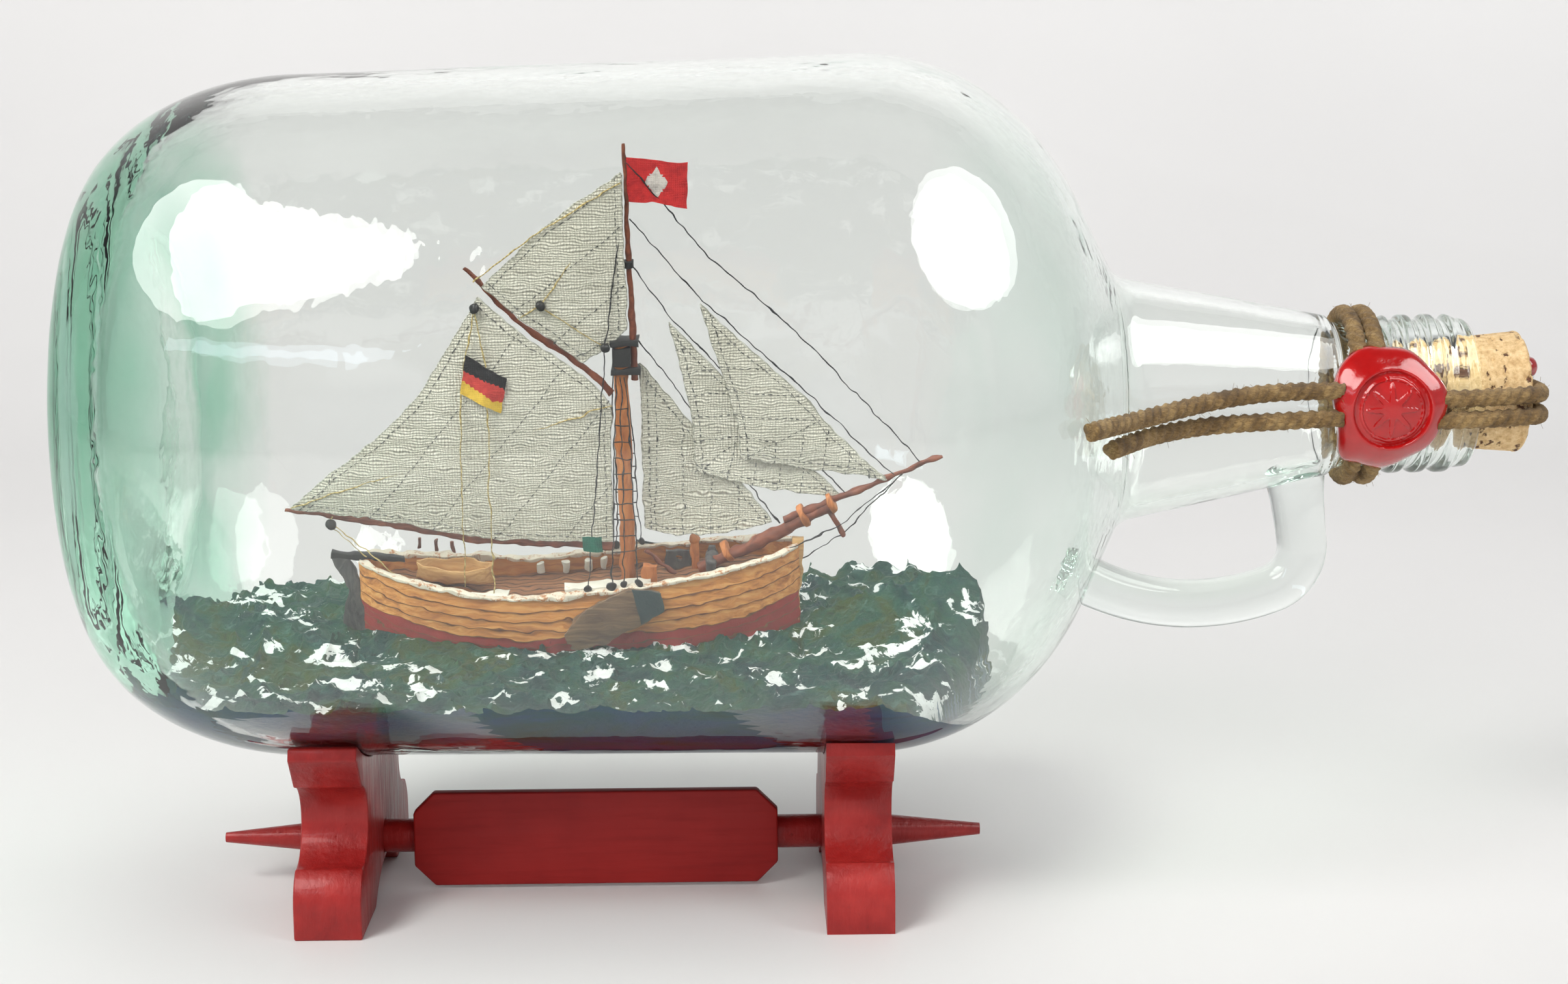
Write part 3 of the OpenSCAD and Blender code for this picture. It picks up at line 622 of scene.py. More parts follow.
RINGS = {"neck_ring_rear": ring_path(309.6, 0.3), "neck_ring_front": ring_path(314.2, -0.25)}
STRANDS = {"cork_strand_upper": strand_path(1.5), "cork_strand_lower": strand_path(-3.9)}
for name, path in RINGS.items():
    finished(rope(name, path, pitch=8.6, closed=True), "jute", "neck_cord")
for name, path in STRANDS.items():
    finished(rope(name, path), "jute", "cork_cord")
fuzz("tie_fuzz", [*RINGS.values(), *STRANDS.values()], 8, 1.8)


# ---- bottle


GLASS_SIDES = 224


def body_at(x):
    return BODY_R - BODY_TAPER * (SHOULDER_X - x) / SHOULDER_X


NECK_SLOPE = degrees(atan((NECK_R0 - NECK_R1) / (NECK_X1 - NECK_X0)))
FILLET_C = (NECK_X0 + FILLET_R * sin(radians(NECK_SLOPE)),
            NECK_R0 + FILLET_R * cos(radians(NECK_SLOPE)))
SHOULDER_C1 = (SHOULDER_X, BODY_R - SHOULDER_R1)
SHOULDER_C2 = (SHOULDER_C1[0] + (SHOULDER_R1 - SHOULDER_R2) * sin(radians(SHOULDER_A1)),
               SHOULDER_C1[1] + (SHOULDER_R1 - SHOULDER_R2) * cos(radians(SHOULDER_A1)))


def between(a, b, n):
    return [(a[0] + (b[0] - a[0]) * i / n, a[1] + (b[1] - a[1]) * i / n) for i in range(1, n)]


def side_outline(heel_c, rx, ry, gap):
    """Body and shoulder, set in from the outside of the glass by gap."""
    heel = [(heel_c[0] + rx * x, heel_c[1] + ry * y) for x, y in arc((0, 0), 1, 180, 90, 30)]
    shoulder = arc(SHOULDER_C1, SHOULDER_R1 - gap, 90, 90 - SHOULDER_A1, 20)
    lower = arc(SHOULDER_C2, SHOULDER_R2 - gap, 90 - SHOULDER_A1 - 2, 90 - SHOULDER_A2, 8)
    fillet = arc(FILLET_C, FILLET_R + gap, 270 - SHOULDER_A2, 270 - NECK_SLOPE, 12)
    outline = heel + between(heel[-1], shoulder[0], 40) + shoulder + lower
    return outline + between(lower[-1], fillet[0], 4) + fillet


def punt(x0):
    dome = (PUNT_R**2 + PUNT_DEPTH**2) / 2 / PUNT_DEPTH
    return arc((x0 + PUNT_DEPTH - dome, 0), dome, 0, degrees(asin(PUNT_R / dome)), 16)


def uneven(depth, seed):
    """Blown glass isn't quite round: slow swells, and finer ones near the base."""

    def wobble(x, r, a):
        spot = Vector((x / 55 + seed, cos(a) * 1.1, sin(a) * 1.1))
        base = max(0.0, 1 - x / 45)
        fine = Vector((x / 9 + seed, cos(a) * 7, sin(a) * 7))
        change = depth * noise.noise(spot) + 0.5 * depth * base * noise.noise(fine)
        return x, r + change * min(1.0, r / 40)

    return wobble


OUTER_WOBBLE = uneven(0.3, 3.7)


def threaded(x, r, a):
    """The moulded screw thread on the mouth, and the uneven body behind it."""
    if x < FINISH_X:
        return OUTER_WOBBLE(x, r, a)
    turns = (x - FINISH_X) / RIDGE_PITCH + a / (2 * pi)
    share = abs((turns % 1) - 0.5) * 2
    fade = min(1.0, max(0.0, (x - FINISH_X) / 3), max(0.0, (MOUTH_X - 2 - x) / 3))
    return x, r + (RIDGE_R - ROOT_R) * fade / (1 + exp((share - 0.55) * 14))


def outer_glass():
    heel_x = HEEL_RX - BASE_OUT
    side = side_outline((heel_x, body_at(heel_x) - HEEL_RY), HEEL_RX, HEEL_RY, 0)
    neck = between(side[-1], (NECK_X1, NECK_R1), 14) + [(NECK_X1, NECK_R1)]
    collar = arc((NECK_X1, NECK_R1 - 1.6), 1.6, 80, 20, 5) + [(THROAT_X, THROAT_R), (FINISH_X, ROOT_R)]
    finish = between((FINISH_X, ROOT_R), (MOUTH_X - 1.2, ROOT_R), 56)
    lip = arc((MOUTH_X - 1.2, ROOT_R - 1.2), 1.2, 90, 0, 5)
    outline = punt(-BASE_OUT) + side + neck + collar + finish + lip + [(MOUTH_X, 16), (MOUTH_X, 0)]
    return lathe("jug", outline, GLASS_SIDES, ["jug_glass"], wobble=threaded)


def cavity(gap, segments=GLASS_SIDES, ripple=0.35):
    """The space inside the glass, smaller all round by gap."""
    heel_x = HEEL_RX - BASE_OUT
    rx, ry = HEEL_RX - BASE_WALL - gap, HEEL_RY - WALL - gap
    side = side_outline((heel_x, body_at(heel_x) - HEEL_RY), rx, ry, WALL + gap)
    end = MOUTH_X + 1 - 2 * gap
    neck = between(side[-1], (NECK_X1, NECK_R1 - WALL - gap), 14) + [(NECK_X1, NECK_R1 - WALL - gap)]
    bore = [(NECK_X1 + 6, BORE_R - gap), (end, BORE_R - gap), (end, 0)]
    outline = punt(heel_x - rx) + side + neck + bore
    return lathe("cavity", outline, segments, ["jug_glass"], wobble=uneven(ripple, 11.3))


GRIP_C, GRIP_R, CORNER_R = (271.5, 5.9), 60, 12
GRIP_A0, GRIP_A1, CORNER_A1 = -37, 19.7, 97


def below(centre, r, angle):
    """A point on an arc in the xz plane, with angles from straight down towards +X."""
    a = radians(angle)
    return Vector((centre[0] + r * sin(a), 0, centre[1] - r * cos(a)))


def handle():
    corner = below(GRIP_C, GRIP_R - CORNER_R, GRIP_A1)
    corner_c = (corner.x, corner.z)
    path = [below(GRIP_C, GRIP_R, GRIP_A0 + (GRIP_A1 - GRIP_A0) * i / 30) for i in range(30)]
    path += [below(corner_c, CORNER_R, GRIP_A1 + (CORNER_A1 - GRIP_A1) * i / 20) for i in range(21)]
    a = radians(CORNER_A1)
    path += [path[-1] + Vector((cos(a), 0, sin(a))) * s for s in (2, 4, 6, 8, 10, 12, 14, 16, 18.6)]

    def radius(share):
        return HANDLE_R * (1 + 0.22 * exp(-share / 0.05) + 0.3 * exp(-(1 - share) / 0.07))

    return tube("handle", path, radius, 64, "jug_glass", BOTTLE)


def bottle():
    glass = boolean(outer_glass(), handle(), "UNION")
    glass = boolean(glass, cavity(0), "DIFFERENCE")
    return finished(glass, "jug_glass", "bottle")


bottle()


def cork():
    def pitted(x, r, a):
        spot = Vector((x / 1.6, cos(a) * 9, sin(a) * 9))
        pit = max(0.0, noise.noise(spot) - 0.32)
        return x, r * (1 - 0.16 * pit) + 0.06 * noise.noise(spot * 3)

    start, end = MOUTH_X - CORK_IN, MOUTH_X + CORK_OUT
    inside = [(start + CORK_IN * i / 20, BORE_R - 0.7 + 0.4 * i / 20) for i in range(21)]
    flare = CORK_R - BORE_R
    outside = [(MOUTH_X + CORK_OUT * i / 22, BORE_R - 0.2 + flare * i / 22) for i in range(1, 21)]
    rim = arc((end - 0.9, CORK_R - 1), 0.9, 90, 0, 5)
    face = [(end, r) for r in (13, 11.5, 10, 8.5, 7, 5.5, 4, 2.5, 1)]
    outline = [(start, 0), (start, 6), (start, 12)] + inside + outside + rim + face + [(end, 0)]
    return finished(lathe("cork_bung", outline, 120, ["cork"], wobble=pitted), "cork", "cork")


cork()


# ---- wax

SEAL_X, SEAL_Z, SEAL_H, SEAL_BACK_R = 316, -0.6, 5.2, 22.2
STAMP_R, STAMP_DEPTH = 9.3, 1.3


def star(dx, dz):
    """1 inside a plain eight-pointed star with a ring round it, and 0 outside."""
    r, a = hypot(dx, dz), atan2(dz, dx)
    points = 2.6 + 4.0 * abs(cos(4 * a)) ** 5
    return 1.0 if r < points or 7.4 < r < 8.0 else 0.0


def wax_seal():
    rays, rings = 180, 56
    points, faces = [], []

    def edge(a):
        drip = 1.6 * exp(-((a - 4.0) / 0.25) ** 2) + 1.1 * exp(-((a - 2.5) / 0.3) ** 2)
        lobes = 0.5 * sin(3 * a + 1) + 0.35 * sin(7 * a)
        return 14.2 + lobes + drip, 15.6 + lobes + drip

    def rest(dz):
        return -sqrt(SEAL_BACK_R**2 - min(abs(dz + SEAL_Z), 16.5) ** 2)

    def height(share, r, dx, dz):
        pool = SEAL_H * (1 - share**3.2) ** 0.5
        if r < STAMP_R:
            return pool - STAMP_DEPTH + 0.45 * star(dx, dz)
        rim = exp(-((r - STAMP_R - 1.1) ** 2))
        return pool + 0.25 * rim - STAMP_DEPTH * exp(-(((r - STAMP_R) / 0.35) ** 2))

    for side in (0, 1):
        points.append((SEAL_X, rest(0) - (height(0, 0, 0, 0) if side == 0 else 0), SEAL_Z))
        for i in range(1, rings + 1):
            share = (i / rings) ** 0.8
            for k in range(rays):
                a = 2 * pi * k / rays
                w, h = edge(a)
                dx, dz = w * share * cos(a), h * share * sin(a)
                lift = height(min(share, 1), hypot(dx, dz), dx, dz) if side == 0 else 0
                points.append((SEAL_X + dx, rest(dz) - max(lift, 0), SEAL_Z + dz))
    half = 1 + rings * rays
    for start, flip in ((0, False), (half, True)):
        for k in range(rays):
            j = (k + 1) % rays
            quads = [(start, start + 1 + k, start + 1 + j)]
            for i in range(rings - 1):
                a, b = start + 1 + i * rays, start + 1 + (i + 1) * rays
                quads.append((a + k, b + k, b + j, a + j))
            faces += [tuple(reversed(q)) if flip else q for q in quads]
    seal = new_object("wax_puddle", points, faces, ["wax"], BOTTLE, sharp=60)
    weld(seal.data)
    return finished(seal, "wax", "wax_seal")


def weld(mesh, distance=0.000005):
    work = bmesh.new()
    work.from_mesh(mesh)
    bmesh.ops.remove_doubles(work, verts=work.verts, dist=distance)
    bmesh.ops.recalc_face_normals(work, faces=work.faces)
    work.to_mesh(mesh)
    work.free()


def wax_dab():
    outline = arc((MOUTH_X + CORK_OUT + 1.4, 0), 3, 180, 0, 24)
    outline = [(outline[0][0], 0)] + outline[1:-1] + [(outline[-1][0], 0)]

    def lumpy(x, r, a):
        spot = Vector((x / 2.4, cos(a) * r / 2.4, sin(a) * r / 2.4))
        return x, r * (1 + 0.22 * noise.noise(spot))

    place = BOTTLE @ Matrix.Translation((0, -3, 6.6))
    return finished(lathe("wax_drop", outline, 48, ["wax"], place, lumpy), "wax", "wax_dab")


wax_seal()
wax_dab()


# ---- hull lines

STERN_X, BOW_X, BEAM = -68.6, 44.8, 26
LOW_X, LOW_Z, BOW_RISE, STERN_RISE = -26.5, 13, 9.8, 6.6
BULWARK_H, BULWARK_T = 4.5, 1.5


def along(u):
    return (BOW_X + STERN_X) / 2 + u * (BOW_X - STERN_X) / 2


def half_beam(u):
    return BEAM / 2 * max(0.0, 1 - abs(u) ** 2.6) ** 0.6


def sheer(x):
    if x > LOW_X:
        return LOW_Z + BOW_RISE * ((x - LOW_X) / (BOW_X - LOW_X)) ** 1.4
    return LOW_Z + STERN_RISE * ((LOW_X - x) / (LOW_X - STERN_X)) ** 1.5


def keel(u):
    return -9 + 8 * abs(u) ** 4


# ---- sea

SEA_Z, SEA_SLOPE = 65.1, 3
SEA_C, SEA_R = (-73.2, 15), 117.3
SEA_FOOT, SEA_FLOOR = 30, 20


def sea_end(y):
    return SEA_C[0] + sqrt(SEA_R**2 - (y - SEA_C[1]) ** 2)


def wave(x, y):
    """The putty's height over its mean plane, in millimetres in the row frame."""
    p = Vector((x, y, 0))
    swell = 1.6 * noise.noise(p / 26)
    crest = 1 - 2 * abs(noise.noise(p / 9 + Vector((5, 1, 0))))
    small = 1 - 2 * abs(noise.noise(p / 3.6 + Vector((2, 9, 0))))
    rough = 0.35 * noise.noise(p / 1.5)
    level = swell + 1.9 * max(crest, 0) ** 3 + 0.9 * max(small, 0) ** 2 + rough - 0.8
    u = (x - SHIP_X - along(0)) / ((BOW_X - STERN_X) / 2)
    beside = abs(y) - half_beam(max(-1, min(1, u))) if abs(u) < 1 else 6 * abs(abs(u) - 1) + abs(y) * 0.4
    bank = exp(-((max(beside, 0) / 7) ** 2))
    level += bank * (0.6 + 4.5 * max(0.0, u) ** 3 + 2.5 * max(0.0, -u) ** 3)
    end = exp(-(((x - sea_end(y) + 10) / 8) ** 2))
    return level + end * (1.4 + 2.6 * noise.noise(p / 5))


def sea():
    step, x0, x1, half = 1.0, -184, 46, 82
    columns = int((x1 - x0) / step) + 1
    rows = int(2 * half / step) + 1
    slope = tan(radians(SEA_SLOPE))
    points = []
    for i in range(columns):
        x = x0 + i * step
        for j in range(rows):
            y = -half + j * step
            over = x - sea_end(y)
            drop = max(0.0, over + 7) ** 2 * 0.12 + max(0.0, over + 1.5) * 6
            points.append((x, y, max(SEA_FOOT, SEA_Z + slope * y + wave(x, y) - drop)))
    faces = [
        (i * rows + j, (i + 1) * rows + j, (i + 1) * rows + j + 1, i * rows + j + 1)
        for i in range(columns - 1)
        for j in range(rows - 1)
    ]
    rim = list(range(rows)) + [i * rows + rows - 1 for i in range(1, columns)]
    rim += [(columns - 1) * rows + j for j in range(rows - 2, -1, -1)]
    rim += [i * rows for i in range(columns - 2, 0, -1)]
    base, n = len(points), len(rim)
    points += [(points[v][0], points[v][1], SEA_FLOOR) for v in rim]
    faces += [(rim[k], rim[(k + 1) % n], base + (k + 1) % n, base + k) for k in range(n)]
    faces.append(tuple(base + k for k in range(n)))
    block = new_object("putty_sea", points, faces, ["putty_sea", "putty_side"], ROW)
    weld(block.data, 1e-7)
    boolean(block, cavity(-0.06, 160, 0), "INTERSECT")
    for face in block.data.polygons:
        face.material_index = int(face.normal.z < 0.12)
    return finished(block, "putty_sea", "sea")


sea()


# ---- hull


def side_point(b, top, bottom, angle):
    a = radians(angle)
    return b * max(0.0, cos(a)) ** 0.55, top + (bottom - top) * sin(a) ** 0.9


STRAKES = [0, 7, 14, 21, 28.5, 36, 45, 56, 70, 90]
WET_STRAKE = 4
LAP = 0.24


def half_section(u):
    """(y, z, kind) from the rail to the keel: each plank's foot stands proud of the next one's head."""
    b, top, bottom = half_beam(u), sheer(along(u)), keel(u)
    lap = min(LAP, 0.2 * b)
    out = []
    for i, (a0, a1) in enumerate(zip(STRAKES, STRAKES[1:])):
        kind = 2 if i >= WET_STRAKE else 0
        for k, share in enumerate((0, 0.45, 0.9, 1)):
            y, z = side_point(b, top, bottom, a0 + (a1 - a0) * share * 0.985)
            out.append((y + lap * (share - 1), z, kind if k < 2 else 1))
    return out[:-1] + [(0, bottom, 1)]


def hull():
    stations, points = 97, []
    for i in range(stations):
        u = 0.992 * sin(radians(180 * i / (stations - 1) - 90))
        x, b = along(u), half_beam(u)
        inner = b - min(BULWARK_T, 0.45 * b)
        section = half_section(u)
        floor = sheer(x) - BULWARK_H
        near = [(x, -y, z) for y, z, _ in section]
        far = [(x, y, z) for y, z, _ in reversed(section[:-1])]
        well = [(x, inner, sheer(x)), (x, inner, floor), (x, -inner, floor), (x, -inner, sheer(x))]
        points += near + far + well
    sides = len(points) // stations
    planks = [kind for _, _, kind in section[:-1]]
    kinds = (planks + planks[::-1] + [0] * 5)[:sides] * (stations - 1) + [0, 0]
    faces = ring_faces(stations, sides)
    woods = ["hull_plank", "hull_seam", "hull_bottom"]
    obj = new_object("planked_hull", points, faces, woods, SHIP, kinds, sharp=25)
    return finished(obj, "plank", "hull")


hull()


# ---- CAD pieces with worked edges


def refined(node, material, slot, width, segments=2, body="bottle"):
    """A copy of a CAD node's shape with rounded edges, which stands for the node."""
    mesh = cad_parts[node].data.copy()
    mesh.name = node + "_shape"
    work = bmesh.new()
    work.from_mesh(mesh)
    bmesh.ops.remove_doubles(work, verts=work.verts, dist=1e-6)
    bmesh.ops.dissolve_limit(work, angle_limit=radians(1), verts=work.verts, edges=work.edges)
    work.to_mesh(mesh)
    work.free()
    mesh.materials.clear()
    mesh.materials.append(MATERIALS[material])
    obj = linked(node + "_shape", mesh)
    edges = obj.modifiers.new("edges", "BEVEL")
    edges.width = width * MM
    edges.segments = segments
    edges.limit_method = "ANGLE"
    edges.angle_limit = radians(35)
    settle(obj, 50)
    return finished(obj, slot, node, body=body)


refined("cradle_left", "red_paint", "red_paint", 0.9, 3, "stand")
refined("cradle_right", "red_paint", "red_paint", 0.9, 3, "stand")
refined("stand_rod", "red_paint", "red_paint", 0.3, 2, "stand")
refined("name_board", "board_paint", "red_paint", 0.7, 3, "stand")

SMALL_PIECES = [
    ("deck_wood", "deck_wood", ["deck"]),
    ("worn_rail", "pale_wood", ["rail_cap"]),
    ("pale_wood", "pale_wood", ["stem_post", "dinghy"]),
    ("white_wood", "pale_wood", ["hatch_house", "aft_box", "fenders"]),
    ("white_wood", "linen", ["folded_sail"]),
    ("dark_wood", "dark_wood", ["rudder", "windlass", "hawse_panel"]),
    ("board_wood", "board_wood", ["leeboard_near", "leeboard_far"]),
    ("tan_wood", "tan_wood", ["tabernacle", "bow_bitt", "lower_mast", "bowsprit_bands"]),
    ("spar_wood", "spar_wood", ["windlass_bar", "topmast", "boom", "gaff", "bowsprit", "jib_boom",
                              "dolphin_striker", "belaying_pins"]),
    ("black_fitting", "black_fitting", ["tiller", "mast_cap", "blocks", "deadeyes"]),
    ("black_thread", "black_thread", ["shrouds_near", "shrouds_far", "fore_stays", "backstays", "bobstays"]),
    ("yellow_thread", "yellow_thread", ["running_rigging", "ensign_halyards", "mainsheet"]),
]
for material, slot, nodes in SMALL_PIECES:
    for node in nodes:
        refined(node, material, slot, 0.02 if "thread" in slot else 0.12)


def leeboard_tip(name, y):
    """The painted corner at the front of a leeboard, laid on its outer face."""
    corners = [(1.6, 17.0), (9.0, 16.2), (9.4, 11.4), (3.6, 7.6)]
    points = []
    for t in (-0.2, 0.2):
        points += [(x, y + t, z) for x, z in corners]
        points.append((6, y + 1.8 * t, 13))
    faces = [(0, 1, 4), (1, 2, 4), (2, 3, 4), (3, 0, 4), (6, 5, 9), (7, 6, 9), (8, 7, 9), (5, 8, 9)]
    faces += [(k, (k + 1) % 4, 5 + (k + 1) % 4, 5 + k) for k in range(4)]
    tip = new_object(name, points, faces, ["board_tip"], SHIP, sharp=30)
    weld(tip.data, 1e-7)
    return finished(tip, "board_wood")


leeboard_tip("leeboard_near_tip", -15.2)
leeboard_tip("leeboard_far_tip", 15.2)


# ---- sails and flags


SAIL_T = 0.36


def sides_of(outline):
    return list(zip(outline, outline[1:] + outline[:1]))


def signed_area(outline):
    return sum(a[0] * b[1] - b[0] * a[1] for a, b in sides_of(outline)) / 2


def inside_outline(p, outline):
    inside = False
    for a, b in sides_of(outline):
        if (a[1] > p[1]) != (b[1] > p[1]) and p[0] < a[0] + (b[0] - a[0]) * (p[1] - a[1]) / (b[1] - a[1]):
            inside = not inside
    return inside


def edge_distance(p, outline):
    best = 1e9
    p = Vector(p)
    for a, b in sides_of(outline):
        a, b = Vector(a), Vector(b)
        t = max(0, min(1, (p - a).dot(b - a) / (b - a).length_squared))
        best = min(best, (p - a - (b - a) * t).length)
    return best


def rounded(outline, corners):
    """The outline with its curved edges smoothed between the named corners."""
    n = len(outline)
    out = []
    for c, d in zip(corners, corners[1:] + [corners[0] + n]):
        side = [outline[i % n] for i in range(c, d + 1)]
        out += [tuple(p) for p in smooth_through(side, 6)[:-1]]
    return out


def cloth(name, outline, depth_at, materials, kind_at=None, thick=SAIL_T, step=1.5):
    """A sheet cut to an outline in the ship's xz plane, set at y = depth_at(x, z), with its flat size and
    area. kind_at(point) is the material number at a point."""
    edge = []
    for a, b in sides_of(outline):
        a, b = Vector(a), Vector(b)
        n = max(1, round((b - a).length / step))
        edge += [a + (b - a) * i / n for i in range(n)]
    low = Vector((min(p[0] for p in edge), min(p[1] for p in edge)))
    high = Vector((max(p[0] for p in edge), max(p[1] for p in edge)))
    flat = list(edge)
    for i in range(int((high.x - low.x) / step) + 1):
        for j in range(int((high.y - low.y) / step) + 1):
            p = Vector((low.x + (i + 0.5 * (j % 2)) * step, low.y + j * step))
            if inside_outline(p, edge) and edge_distance(p, outline) > 0.6 * step:
                flat.append(p)
    edges = [(i, (i + 1) % len(edge)) for i in range(len(edge))]
    points, _, faces = geometry.delaunay_2d_cdt(flat, edges, [], 1, 1e-5)[:3]
    kinds = None
    if kind_at:
        kinds = [kind_at(sum((points[i] for i in f), Vector((0, 0))) / len(f)) for f in faces]
    formed = [(p.x, depth_at(p.x, p.y), p.y) for p in points]
    obj = new_object(name, formed, faces, materials, SHIP, kinds)
    layer = obj.data.uv_layers.new(name="flat")
    for loop in obj.data.loops:
        layer.data[loop.index].uv = points[loop.vertex_index] * MM
    weld(obj.data, 1e-7)
    sheet = obj.modifiers.new("thick", "SOLIDIFY")
    sheet.thickness = thick * MM
    sheet.offset = 0
    settle(obj)
    size = high - low
    return obj, (size.x * MM, size.y * MM), abs(signed_area(outline)) * MM * MM


def billow(outline, y, depth):
    """A given belly: the cloth stands away from y in the middle and lies flat at its edges."""

    def depth_at(x, z):
        d = edge_distance((x, z), outline)
        wrinkle = 0.12 * noise.noise(Vector((x, z, 0)) / 6)
        return y + (depth + wrinkle) * (1 - exp(-d / 9))

    return depth_at


def stitches(name, lines, depth_at, outline):
    """Rows of short stitches on both faces of a sail, along lines of (x, z) points."""
    gap, length = 1.7, 0.85
    box = [(0, 1, 2, 3), (7, 6, 5, 4), (0, 4, 5, 1), (1, 5, 6, 2), (2, 6, 7, 3), (3, 7, 4, 0)]
    points, faces = [], []
    for line in lines:
        for p in even([Vector((a[0], a[1], 0)) for a in line], gap):
            ahead = Vector((line[-1][0] - line[0][0], line[-1][1] - line[0][1]))
            if ahead.length < 1e-6 or not inside_outline((p.x, p.y), outline):
                continue
            ahead.normalize()
            across = Vector((-ahead.y, ahead.x)) * 0.13
            end = ahead * length / 2
            for side in (-1, 1):
                base = len(points)
                for lift in (0, 0.12):
                    y = depth_at(p.x, p.y) + side * (SAIL_T / 2 - 0.03 + lift)
                    for s, t in ((-1, -1), (1, -1), (1, 1), (-1, 1)):
                        at = Vector((p.x, p.y)) + end * s * (1 - lift) + across * t * (1 - 2 * lift)
                        points.append((at.x, y, at.y))
                faces += [tuple(base + i for i in (f if side > 0 else reversed(f))) for f in box]
    obj = new_object(name, points, faces, ["stitching"], SHIP, sharp=30)
    return finished(obj, "black_thread")


def hem(outline, inset):
    """Short lines along the edges of an outline, set inside it and joined end to end."""
    sign = 1 if signed_area(outline) > 0 else -1
    lines = []
    for a, b in sides_of(outline):
        a, b = Vector(a), Vector(b)
        if (b - a).length < 0.2:
            continue
        inward = Vector((-(b - a).y, (b - a).x)).normalized() * inset * sign
        lines.append([a + inward, b + inward])
    return [[a, b] for line in joined(lines) for a, b in zip(line, line[1:])]


def joined(lines):
    """Lines that nearly meet and nearly agree, made into longer ones with no gaps."""
    out = [list(lines[0])]
    for a, b in lines[1:]:
        before, last = out[-1][-2:]
        if (a - last).length < 1.2 and (b - a).angle(last - before) < 0.5:
            out[-1].append(b)
        else:
            out.append([a, b])
    return out


def parallels(outline, direction, pitch, keep=lambda x, z: True):
    """Lines in one direction, pitch apart, over the part of an outline that keep() accepts."""
    d = Vector(direction).normalized()
    n = Vector((-d.y, d.x))
    spans = [Vector(p).dot(n) for p in outline]
    reaches = [Vector(p).dot(d) for p in outline]
    lines = []
    k = ceil(min(spans) / pitch)
    while k * pitch < max(spans):
        run = []
        t = min(reaches)
        while t < max(reaches):
            p = n * k * pitch + d * t
            if inside_outline(p, outline) and keep(p.x, p.y):
                run.append(p)
            elif len(run) > 1:
                lines.append([run[0], run[-1]])
                run = []
            t += 0.4
        if len(run) > 1:
            lines.append([run[0], run[-1]])
        k += 1
    return lines


def bolt_rope(name, outline, depth_at):
    """A thin cord sewn along the whole edge of a sail."""
    loop = even([Vector((p[0], p[1], 0)) for p in outline + outline[:1]], 1.0)
    path = [(p.x, depth_at(p.x, p.y), p.y) for p in loop]
    return finished(tube(name, path, 0.22, 8, "bolt_rope", SHIP, sharp=80), "linen")


MAINSAIL = [(-3.6, 24.4), (-2.9, 62.6), (-9.4, 69.8), (-26.4, 82.6), (-34.6, 90.6), (-39.9, 81.5),
            (-47.7, 69), (-54, 60.7), (-62.9, 52.4), (-78, 40.2), (-84.6, 34.6), (-56, 30.3),
            (-37.4, 26.2), (-21.6, 25)]
TOPSAIL = [(1.4, 121.6), (-10.8, 113.1), (-21.5, 104.7), (-27.3, 99), (-33.4, 93.2), (-25.9, 86.4),
           (-9.6, 73.6), (-4.6, 76.6), (1.6, 82.4)]
STAYSAIL = [(4.6, 72.6), (37.6, 28.8), (26, 26), (12.2, 25.4), (4.8, 27.2)]
JIB = [(12.1, 83.6), (55, 35.8), (36, 38.6), (18.4, 43.5), (17, 62)]
FLYING_JIB = [(20, 88.4), (31.3, 76.9), (43.9, 65.2), (54, 52.9), (66.4, 40.6), (47, 44.4), (29.5, 47.1),
              (28, 60)]


def mitred(clew, luff, above, under):
    """Seams square to the leech over a line from the clew to the luff, and square to the foot under it."""
    across = Vector(luff) - Vector(clew)

    def over(x, z):
        return across.x * (z - clew[1]) - across.y * (x - clew[0]) > 0

    def lines(outline):
        upper = parallels(outline, above, 6.2, over)
        lower = parallels(outline, under, 6.2, lambda x, z: not over(x, z))
        return upper + lower + [[Vector(clew), Vector(luff)]]

    return lines


# each sail's outline, the numbers of its corners, its y, its belly and its seams
SAILS = {
    "mainsail": (MAINSAIL, [0, 1, 4, 10], -1.3, -1.1, lambda o: parallels(o, (0.62, 0.785), 14)),
    "topsail": (TOPSAIL, [0, 4, 6, 8], -1.3, -0.9, lambda o: parallels(o, (0.78, 0.62), 12)),
    "fore_staysail": (STAYSAIL, [0, 1, 4], 0.9, 1.2, lambda o: parallels(o, (0.02, 1), 7)),
    "jib": (JIB, [0, 1, 3], 0, 1.1, mitred((18.4, 43.5), (36, 57), (1, 0.1), (0.18, 1))),
    "flying_jib": (FLYING_JIB, [0, 4, 6], -0.9, -1.1, mitred((29.5, 47.1), (50, 58), (1, -0.1), (0.14, 1))),
}


def sail(name, outline, corners, y, depth, seams):
    shape = rounded(outline, corners)
    depth_at = billow(shape, y, depth)
    obj, flat, area = cloth(name + "_cloth", shape, depth_at, ["linen"])
    finished(obj, "linen", name)
    stitches(name + "_seams", seams(shape) + hem(shape, 1.6), depth_at, shape)
    bolt_rope(name + "_edge", shape, depth_at)


for name, (outline, corners, y, depth, seams) in SAILS.items():
    sail(name, outline, corners, y, depth, seams)


def flag(name, corners, y, ripple, materials, slot, kind_at=None):
    """A small flag: corners are the hoist's top, the fly's top, the fly's foot and the hoist's foot."""
    hoist, fly = Vector(corners[0]), Vector(corners[1])
    run = fly - hoist

    def depth_at(x, z):
        s = (Vector((x, z)) - hoist).dot(run) / run.length_squared
        return y + ripple * max(0.0, s) * sin(s * 7.5 + 0.12 * (z - hoist.y))

    obj, flat, area = cloth(name + "_cloth", corners, depth_at, materials, kind_at, 0.22, 0.7)
    finished(obj, slot, name)
    return obj


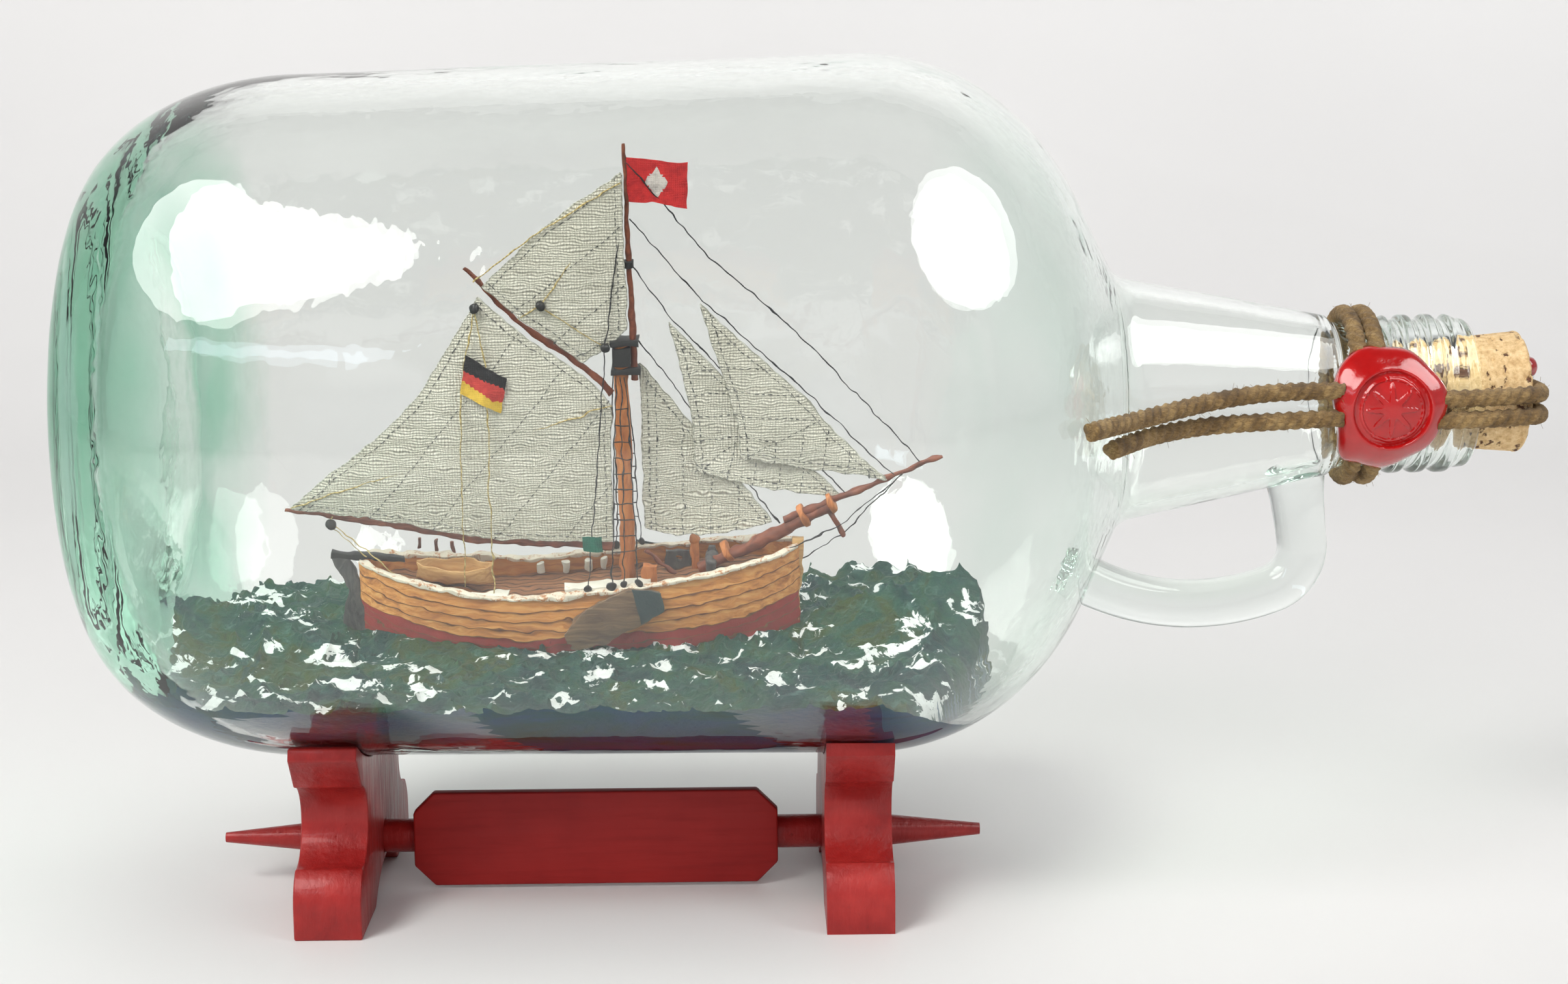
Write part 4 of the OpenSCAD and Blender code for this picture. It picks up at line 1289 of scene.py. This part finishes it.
def masthead_flag():
    corners = [(2.6, 125.2), (17.6, 123.5), (17.2, 112.4), (2.6, 114.1)]
    middle = Vector((10, 118.8))

    def emblem(p):
        d = p - middle
        return 1 if abs(d.x) / 2.9 + abs(d.y) / 3.7 < 1 else 0

    flag("masthead_flag", corners, 0, 0.7, ["red_flag", "flag_emblem"], "red_flag", emblem)


def ensign():
    corners = [(-37.8, 76.3), (-28, 70.2), (-30.3, 61.1), (-40.1, 66.2)]
    top, fly, foot = Vector(corners[0]), Vector(corners[1]), Vector(corners[3])

    def band(p):
        across = (fly - top).normalized()
        down = Vector((across.y, -across.x))
        share = (p - top).dot(down) / (foot - top).dot(down)
        return max(0, min(2, int(share * 3)))

    cloths = ["ensign_black", "ensign_red", "ensign_gold"]
    flag("ensign", corners, -3.3, 0.6, cloths, "banded_flag", band)


masthead_flag()
ensign()
flag("green_pennant", [(-10.4, 30.6), (-5.8, 30.3), (-5.8, 26), (-10.4, 26.2)], -11, 0.3, ["green_pennant"],
     "green_flag")


# ---- room and light


def backdrop():
    """A pale floor that curves up into a wall, far behind the object."""
    look = Look("backdrop", Roughness=0.55)
    look.colour(look.ramp(look.noise(0.4, 3), (0.3, (224, 223, 222)), (0.7, (228, 227, 226))))
    wall_y, wall_h, bend = 1.3, 2, 0.6
    profile = [(-2.5, 0)] + arc((wall_y - bend, bend), bend, -90, 0, 15) + [(wall_y, wall_h)]
    points = [(x, y, z) for y, z in profile for x in (-4, 4)]
    faces = [(2 * i, 2 * i + 1, 2 * i + 3, 2 * i + 2) for i in range(len(profile) - 1)]
    new_object("backdrop", points, faces, ["backdrop"], Matrix.Identity(4), sharp=80)


def lamp(name, place, target, size, power, colour=(1, 1, 1), shape="RECTANGLE", seen=False):
    """An area lamp. One that is seen shows in gloss and glass and lights no rough surface. Another does the
    opposite."""
    data = bpy.data.lights.new(name, "AREA")
    data.shape = shape
    data.size, data.size_y = size
    data.energy = power
    data.color = colour
    light = linked(name, data)
    ahead = Vector(target) - Vector(place)
    light.matrix_world = Matrix.Translation(place) @ ahead.to_track_quat("-Z", "Y").to_matrix().to_4x4()
    light.visible_diffuse = not seen
    light.visible_glossy = seen
    light.visible_transmission = seen


def room():
    backdrop()
    warm, cool = (1, 0.99, 0.97), (0.97, 0.98, 1)
    lamp("window", (-1.38, -0.95, 1.9), (-1.38, -0.949, 0), (1.96, 2.5), 88, warm, "ELLIPSE", seen=True)
    lamp("far_window", (2, -0.55, 1.9), (2, -0.549, 0), (2.8, 2.4), 84, (1, 1, 0.99), "ELLIPSE", seen=True)
    lamp("ledge", (-0.65, -1.05, 0.72), (-0.12, -0.06, 0.19), (0.72, 0.1), 0.7, (0.75, 0.87, 1), seen=True)
    lamp("key", (-1.0, -1.1, 1.35), (0, 0, 0.1), (0.8, 0.8), 29, warm)
    lamp("side", (1.3, -0.9, 1.1), (0, 0, 0.1), (0.7, 0.9), 5, cool)
    lamp("front", (0.1, -1.5, 0.9), (0, -0.2, 0), (1.2, 0.6), 5)
    lamp("overhead", (0.1, -0.1, 1.6), (0, 0.1, 0), (1.2, 0.8), 4.6)
    lamp("wall", (0.35, 0.75, 1.5), (0.35, 1.3, 0.5), (1.6, 0.4), 4.8)
    world = bpy.data.worlds.new("room")
    world.use_nodes = True
    nodes, links = world.node_tree.nodes, world.node_tree.links
    height = nodes.new("ShaderNodeSeparateXYZ")
    fall = nodes.new("ShaderNodeMapRange")
    links.new(nodes.new("ShaderNodeTexCoord").outputs["Generated"], height.inputs[0])
    links.new(height.outputs[2], fall.inputs["Value"])
    links.new(fall.outputs[0], nodes["Background"].inputs["Strength"])
    for key, value in {"From Min": 0.1, "From Max": 0.9, "To Min": 0.54, "To Max": 0.08}.items():
        fall.inputs[key].default_value = value
    nodes["Background"].inputs["Color"].default_value = (0.97, 0.975, 1.0, 1)
    scene = bpy.context.scene
    scene.world = world
    scene.view_settings.view_transform = "Standard"
    scene.cycles.max_bounces = 24
    scene.cycles.glossy_bounces = 16
    scene.cycles.transmission_bounces = 24
    scene.cycles.transparent_max_bounces = 32


room()
